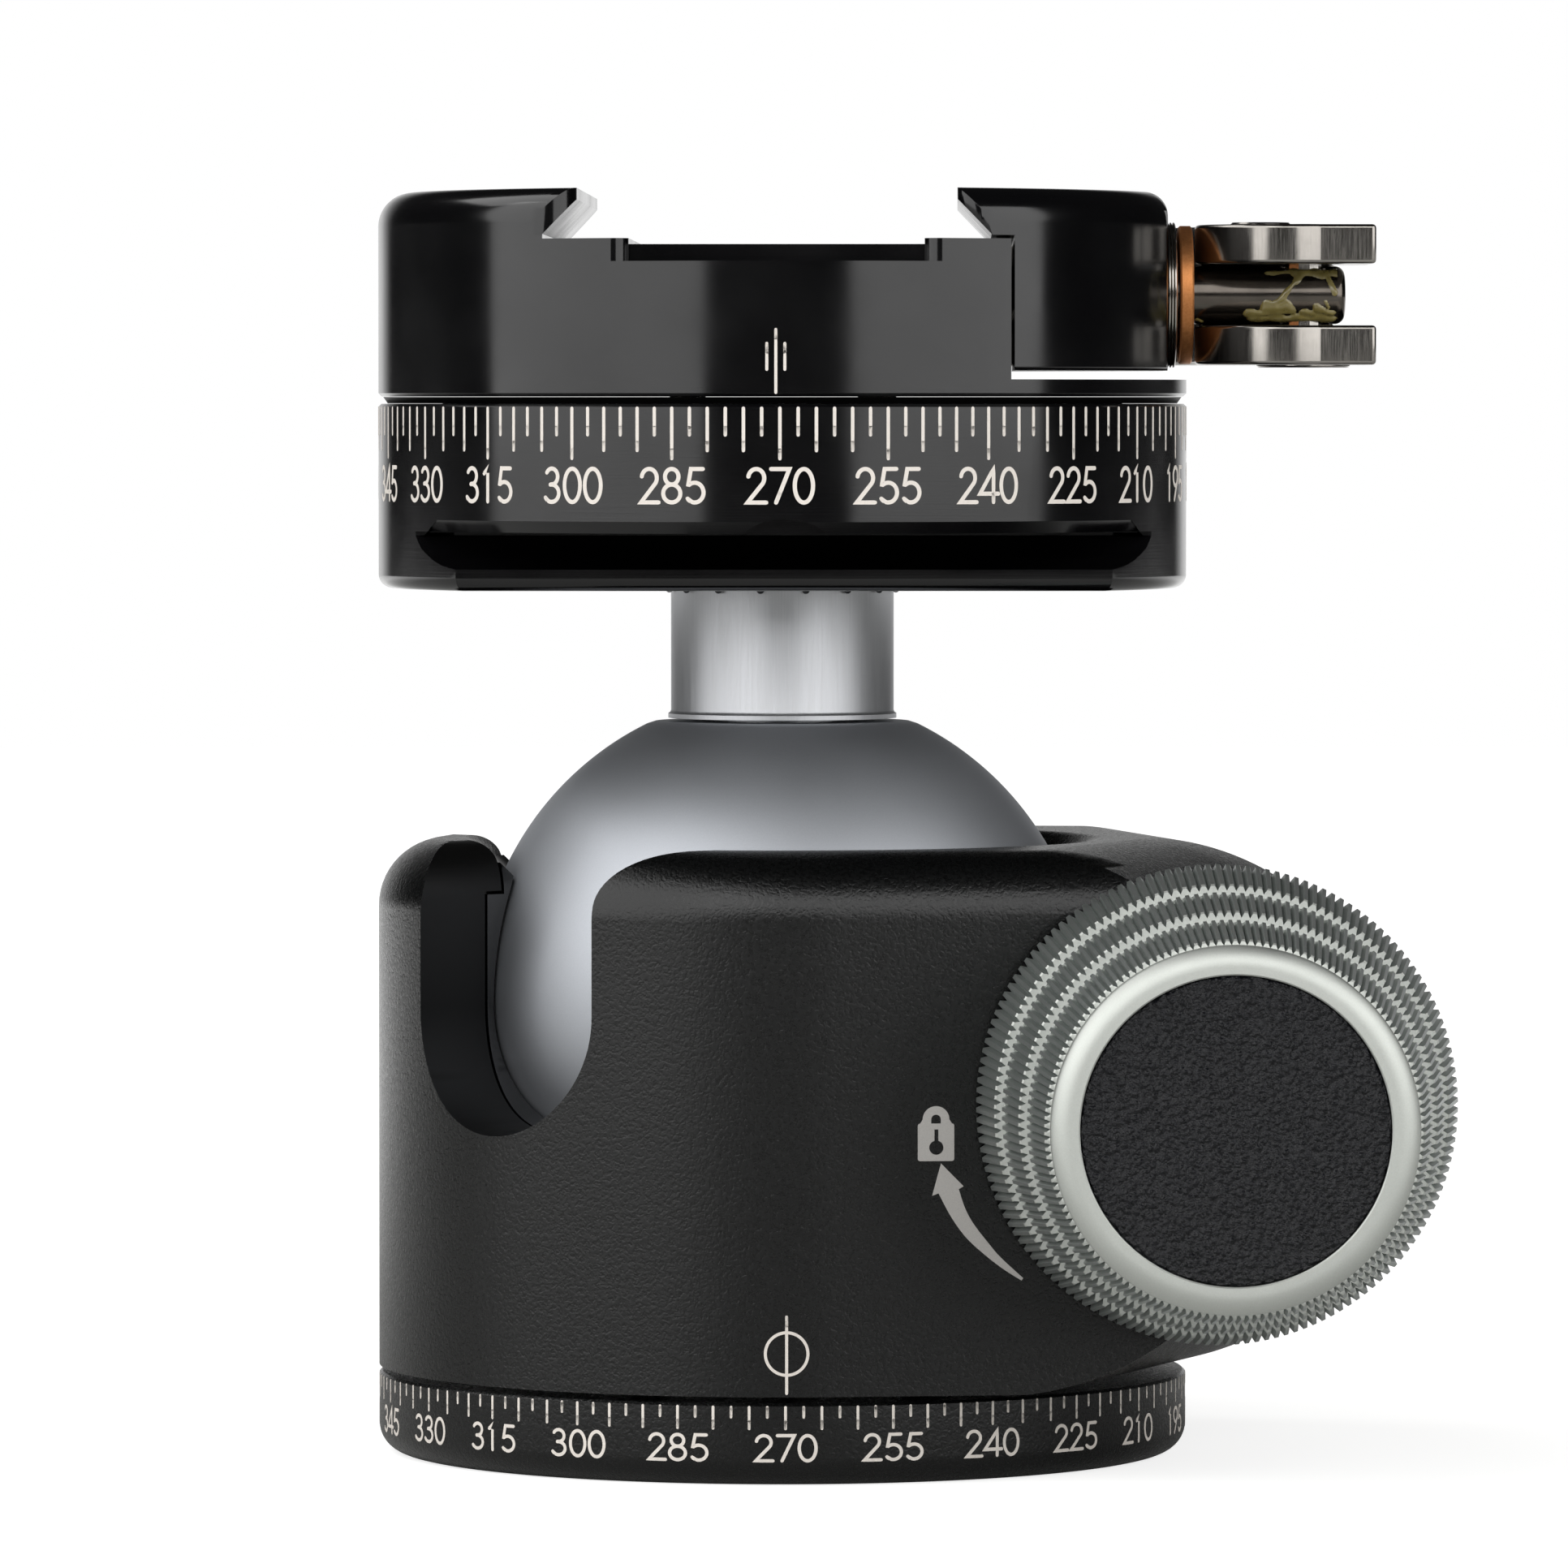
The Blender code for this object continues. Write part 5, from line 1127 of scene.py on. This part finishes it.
def buildLockMark():
    x, foot, half, turn = lockMark["x"], lockMark["foot"], lockMark["width"] / 2.0, lockMark["round"]
    outer, arch, high = lockMark["shackleWidth"] / 2.0, lockMark["archWidth"] / 2.0, lockMark["height"]
    spring = foot + lockMark["shackleTop"] - outer
    left, right, top = x - half + turn, x + half - turn, foot + high - turn
    body = arcPoints((left, foot + turn), turn, 180, 270, 4)
    body += arcPoints((right, foot + turn), turn, 270, 360, 4)
    body += arcPoints((right, top), turn, 0, 90, 4) + arcPoints((x, spring), outer, 0, 180, 24)
    body += arcPoints((left, top), turn, 90, 180, 4)
    hole = arcPoints((x, spring), arch, 0, 180, 12) + [(x - arch, foot + high), (x + arch, foot + high)]
    keyX, keyY, reach, slot = x + 0.03, foot + lockMark["keyRise"], lockMark["keyRadius"], lockMark["keySlot"]
    gape = math.degrees(math.asin(slot / reach))
    key = arcPoints((keyX, keyY), reach, 90 + gape, 450 - gape, 28)
    key += [(keyX + slot, foot + lockMark["keyTop"]), (keyX - slot, foot + lockMark["keyTop"])]
    flatMark("padlockMark", [body, hole, key], greyInk)

    def onFlank(points):
        scale, column, row, x, z = photoScale.values()
        return [((px - column) / scale + x, z - (py - row) / scale) for px, py in points]

    outside, inside = onFlank(arrowMark["outer"]), onFlank(arrowMark["inner"])
    outline = [outside[0]] + smoothPath(outside[1:]) + smoothPath(inside[:-1]) + [inside[-1]]
    outline += onFlank([arrowMark["tip"]])
    flatMark("arrowMark", [outline], greyInk)


buildBase()
buildHousing()
buildCollar()
print("base and housing built")
buildBall()
buildStem()
buildToothWasher()
buildDial()
buildSeal()
print("ball, stem and dial built")
buildClamp()
buildJaw()
buildLever()
buildRod()
buildWashers()
buildGrease()
print("clamp built")
buildKnob()
buildRearKnob("friction_knob", "friction_knob", 10, 0.9)
buildRearKnob("pan_lock_knob", "pan_lock", 8, 0.7)
buildRearKnob("clamp_lock_knob", "clamp_lock", 8, 0.6)
print("knobs built")
buildDialMarks()
buildIndexMarks()
buildLockMark()
print("marks printed")


# Studio: white surroundings, a tall soft light on each side and a dark gap round the camera
# (azimuth to the right of the front, elevation, distance, width, height, radiance) of each softbox, metres
studio = {"lights": ((-56.0, 30.0, 1.25, 1.9, 1.5, 2.2), (48.0, 23.0, 1.12, 1.34, 0.98, 2.3),
                     (-2.5, 27.0, 1.2, 0.64, 0.62, 2.1), (-122.0, 52.0, 1.2, 0.55, 0.6, 2.0)),
          "aim": 0.06, "ambient": 0.15, "dark": 0.01, "floorGlow": 0.76, "floorShine": 0.03,
          "floorReach": 2.0, "camera": 1.0, "yaw": 0.4, "pitch": 1.987, "lens": 255.65, "eye": 94.5,
          "side": 0.146}
white = (1.0, 1.0, 1.0, 1.0)


def buildCamera():
    data = bpy.data.cameras.new("camera")
    data.sensor_width = 36.0
    data.lens = studio["lens"]
    data.clip_start = 0.01
    camera = addObject("camera", data)
    yaw, away = math.radians(studio["yaw"]), studio["camera"]
    camera.location = (studio["side"] * mm - away * math.sin(yaw), -away * math.cos(yaw), studio["eye"] * mm)
    camera.rotation_euler = (math.radians(90.0 - studio["pitch"]), 0.0, -yaw)
    bpy.context.scene.camera = camera


def buildLights():
    for index, (azimuth, height, distance, wide, tall, glow) in enumerate(studio["lights"]):
        name = "softbox_%d" % index
        data = bpy.data.lights.new(name, "AREA")
        data.shape = "RECTANGLE"
        data.size, data.size_y = wide, tall
        data.energy = glow * math.pi * wide * tall
        lamp = addObject(name, data)
        swing, rise = math.radians(azimuth), math.radians(height)
        away, above = distance * math.cos(rise), distance * math.sin(rise)
        lamp.location = (away * math.sin(swing), -away * math.cos(swing), studio["aim"] + above)
        lamp.rotation_euler = (math.pi / 2.0 - rise, 0.0, swing)
        lamp.visible_camera = False


def raysSeen(tree):
    # whether the camera looks straight at a place, and whether it does so in metal or through glass
    path = addNode(tree, "LightPath")
    indirect = addNode(tree, "Math", {"operation": "MAXIMUM"},
                       {0: path["Is Glossy Ray"], 1: path["Is Transmission Ray"]})["Value"]
    return path["Is Camera Ray"], indirect


def buildWorld():
    world = bpy.data.worlds.new("studioWorld")
    bpy.context.scene.world = world
    world.use_nodes = True
    tree = world.node_tree
    tree.nodes.clear()
    direct, indirect = raysSeen(tree)
    direction = addNode(tree, "TexCoord")["Generated"]
    axes = addNode(tree, "SeparateXYZ", {}, {"Vector": direction})
    # metal shows a white backdrop low behind the object, and darkness elsewhere
    low, rear = [addNode(tree, "MapRange", {"From Min": first, "From Max": last},
                         {"Value": axes[axis]})["Result"]
                 for axis, first, last in (("Z", 0.3, 0.06), ("Y", 0.87, 0.95))]
    backdrop = addNode(tree, "Math", {"operation": "MULTIPLY"}, {0: low, 1: rear})["Value"]
    shown = addNode(tree, "Math", {"operation": "MAXIMUM", 1: studio["dark"]}, {0: backdrop})["Value"]
    rest = addNode(tree, "Mix", {2: studio["ambient"]}, {0: indirect, 3: shown})[0]
    level = addNode(tree, "Mix", {3: 1.0}, {0: direct, 2: rest})[0]
    sky = addNode(tree, "Background", {"Color": white}, {"Strength": level})
    addNode(tree, "OutputWorld", {}, {"Surface": sky["Background"]})


def buildFloor():
    # white paper that glows a little, so that it fades into the white background
    look = bpy.data.materials.new("whitePaper")
    look.use_nodes = True
    tree = look.node_tree
    tree.nodes.clear()
    spot = addNode(tree, "TexCoord")["Object"]
    away = addNode(tree, "VectorMath", {"operation": "LENGTH"}, {0: spot})["Value"]
    depth = addNode(tree, "SeparateXYZ", {}, {"Vector": spot})["Y"]
    # glow by distance; in metal the floor is lit behind the object, and faintly round it
    # the faint glow round it is a painted glow, and its fall to nothing right under the object a painted
    # contact shadow
    glow, near, clear, behind = [
        addNode(tree, "MapRange", {"From Min": first, "From Max": last, "To Min": low, "To Max": high},
                {"Value": source})["Result"]
        for source, first, last, low, high in (
            (away, 0.12, 0.6, studio["floorGlow"], 1.0), (away, 0.5, 0.25, 0.0, 1.0),
            (away, 0.045, 0.09, 0.0, studio["floorShine"]), (depth, 0.15, 0.5, 0.0, 1.0))]
    lit = addNode(tree, "Math", {"operation": "MULTIPLY_ADD"}, {0: near, 1: clear, 2: behind})["Value"]
    direct, indirect = raysSeen(tree)
    reflected = addNode(tree, "Math", {"operation": "MULTIPLY"}, {0: indirect, 1: lit})["Value"]
    strength = addNode(tree, "Math", {"operation": "MULTIPLY_ADD"}, {0: glow, 1: direct, 2: reflected})
    paper = addNode(tree, "BsdfDiffuse", {"Color": linearColour("#b9b9b7")})
    light = addNode(tree, "Emission", {"Color": white}, {"Strength": strength["Value"]})
    both = addNode(tree, "AddShader", {}, {0: paper["BSDF"], 1: light["Emission"]})
    addNode(tree, "OutputMaterial", {}, {"Surface": both["Shader"]})
    mesh = bpy.data.meshes.new("floor")
    reach = studio["floorReach"]
    corners = [(-reach, -reach, 0.0), (reach, -reach, 0.0), (reach, reach, 0.0), (-reach, reach, 0.0)]
    mesh.from_pydata(corners, [], [(0, 1, 2, 3)])
    mesh.materials.append(look)
    addObject("floor", mesh)


buildCamera()
buildLights()
buildWorld()
buildFloor()
bpy.context.scene.view_settings.view_transform = "Standard"
print("studio ready")
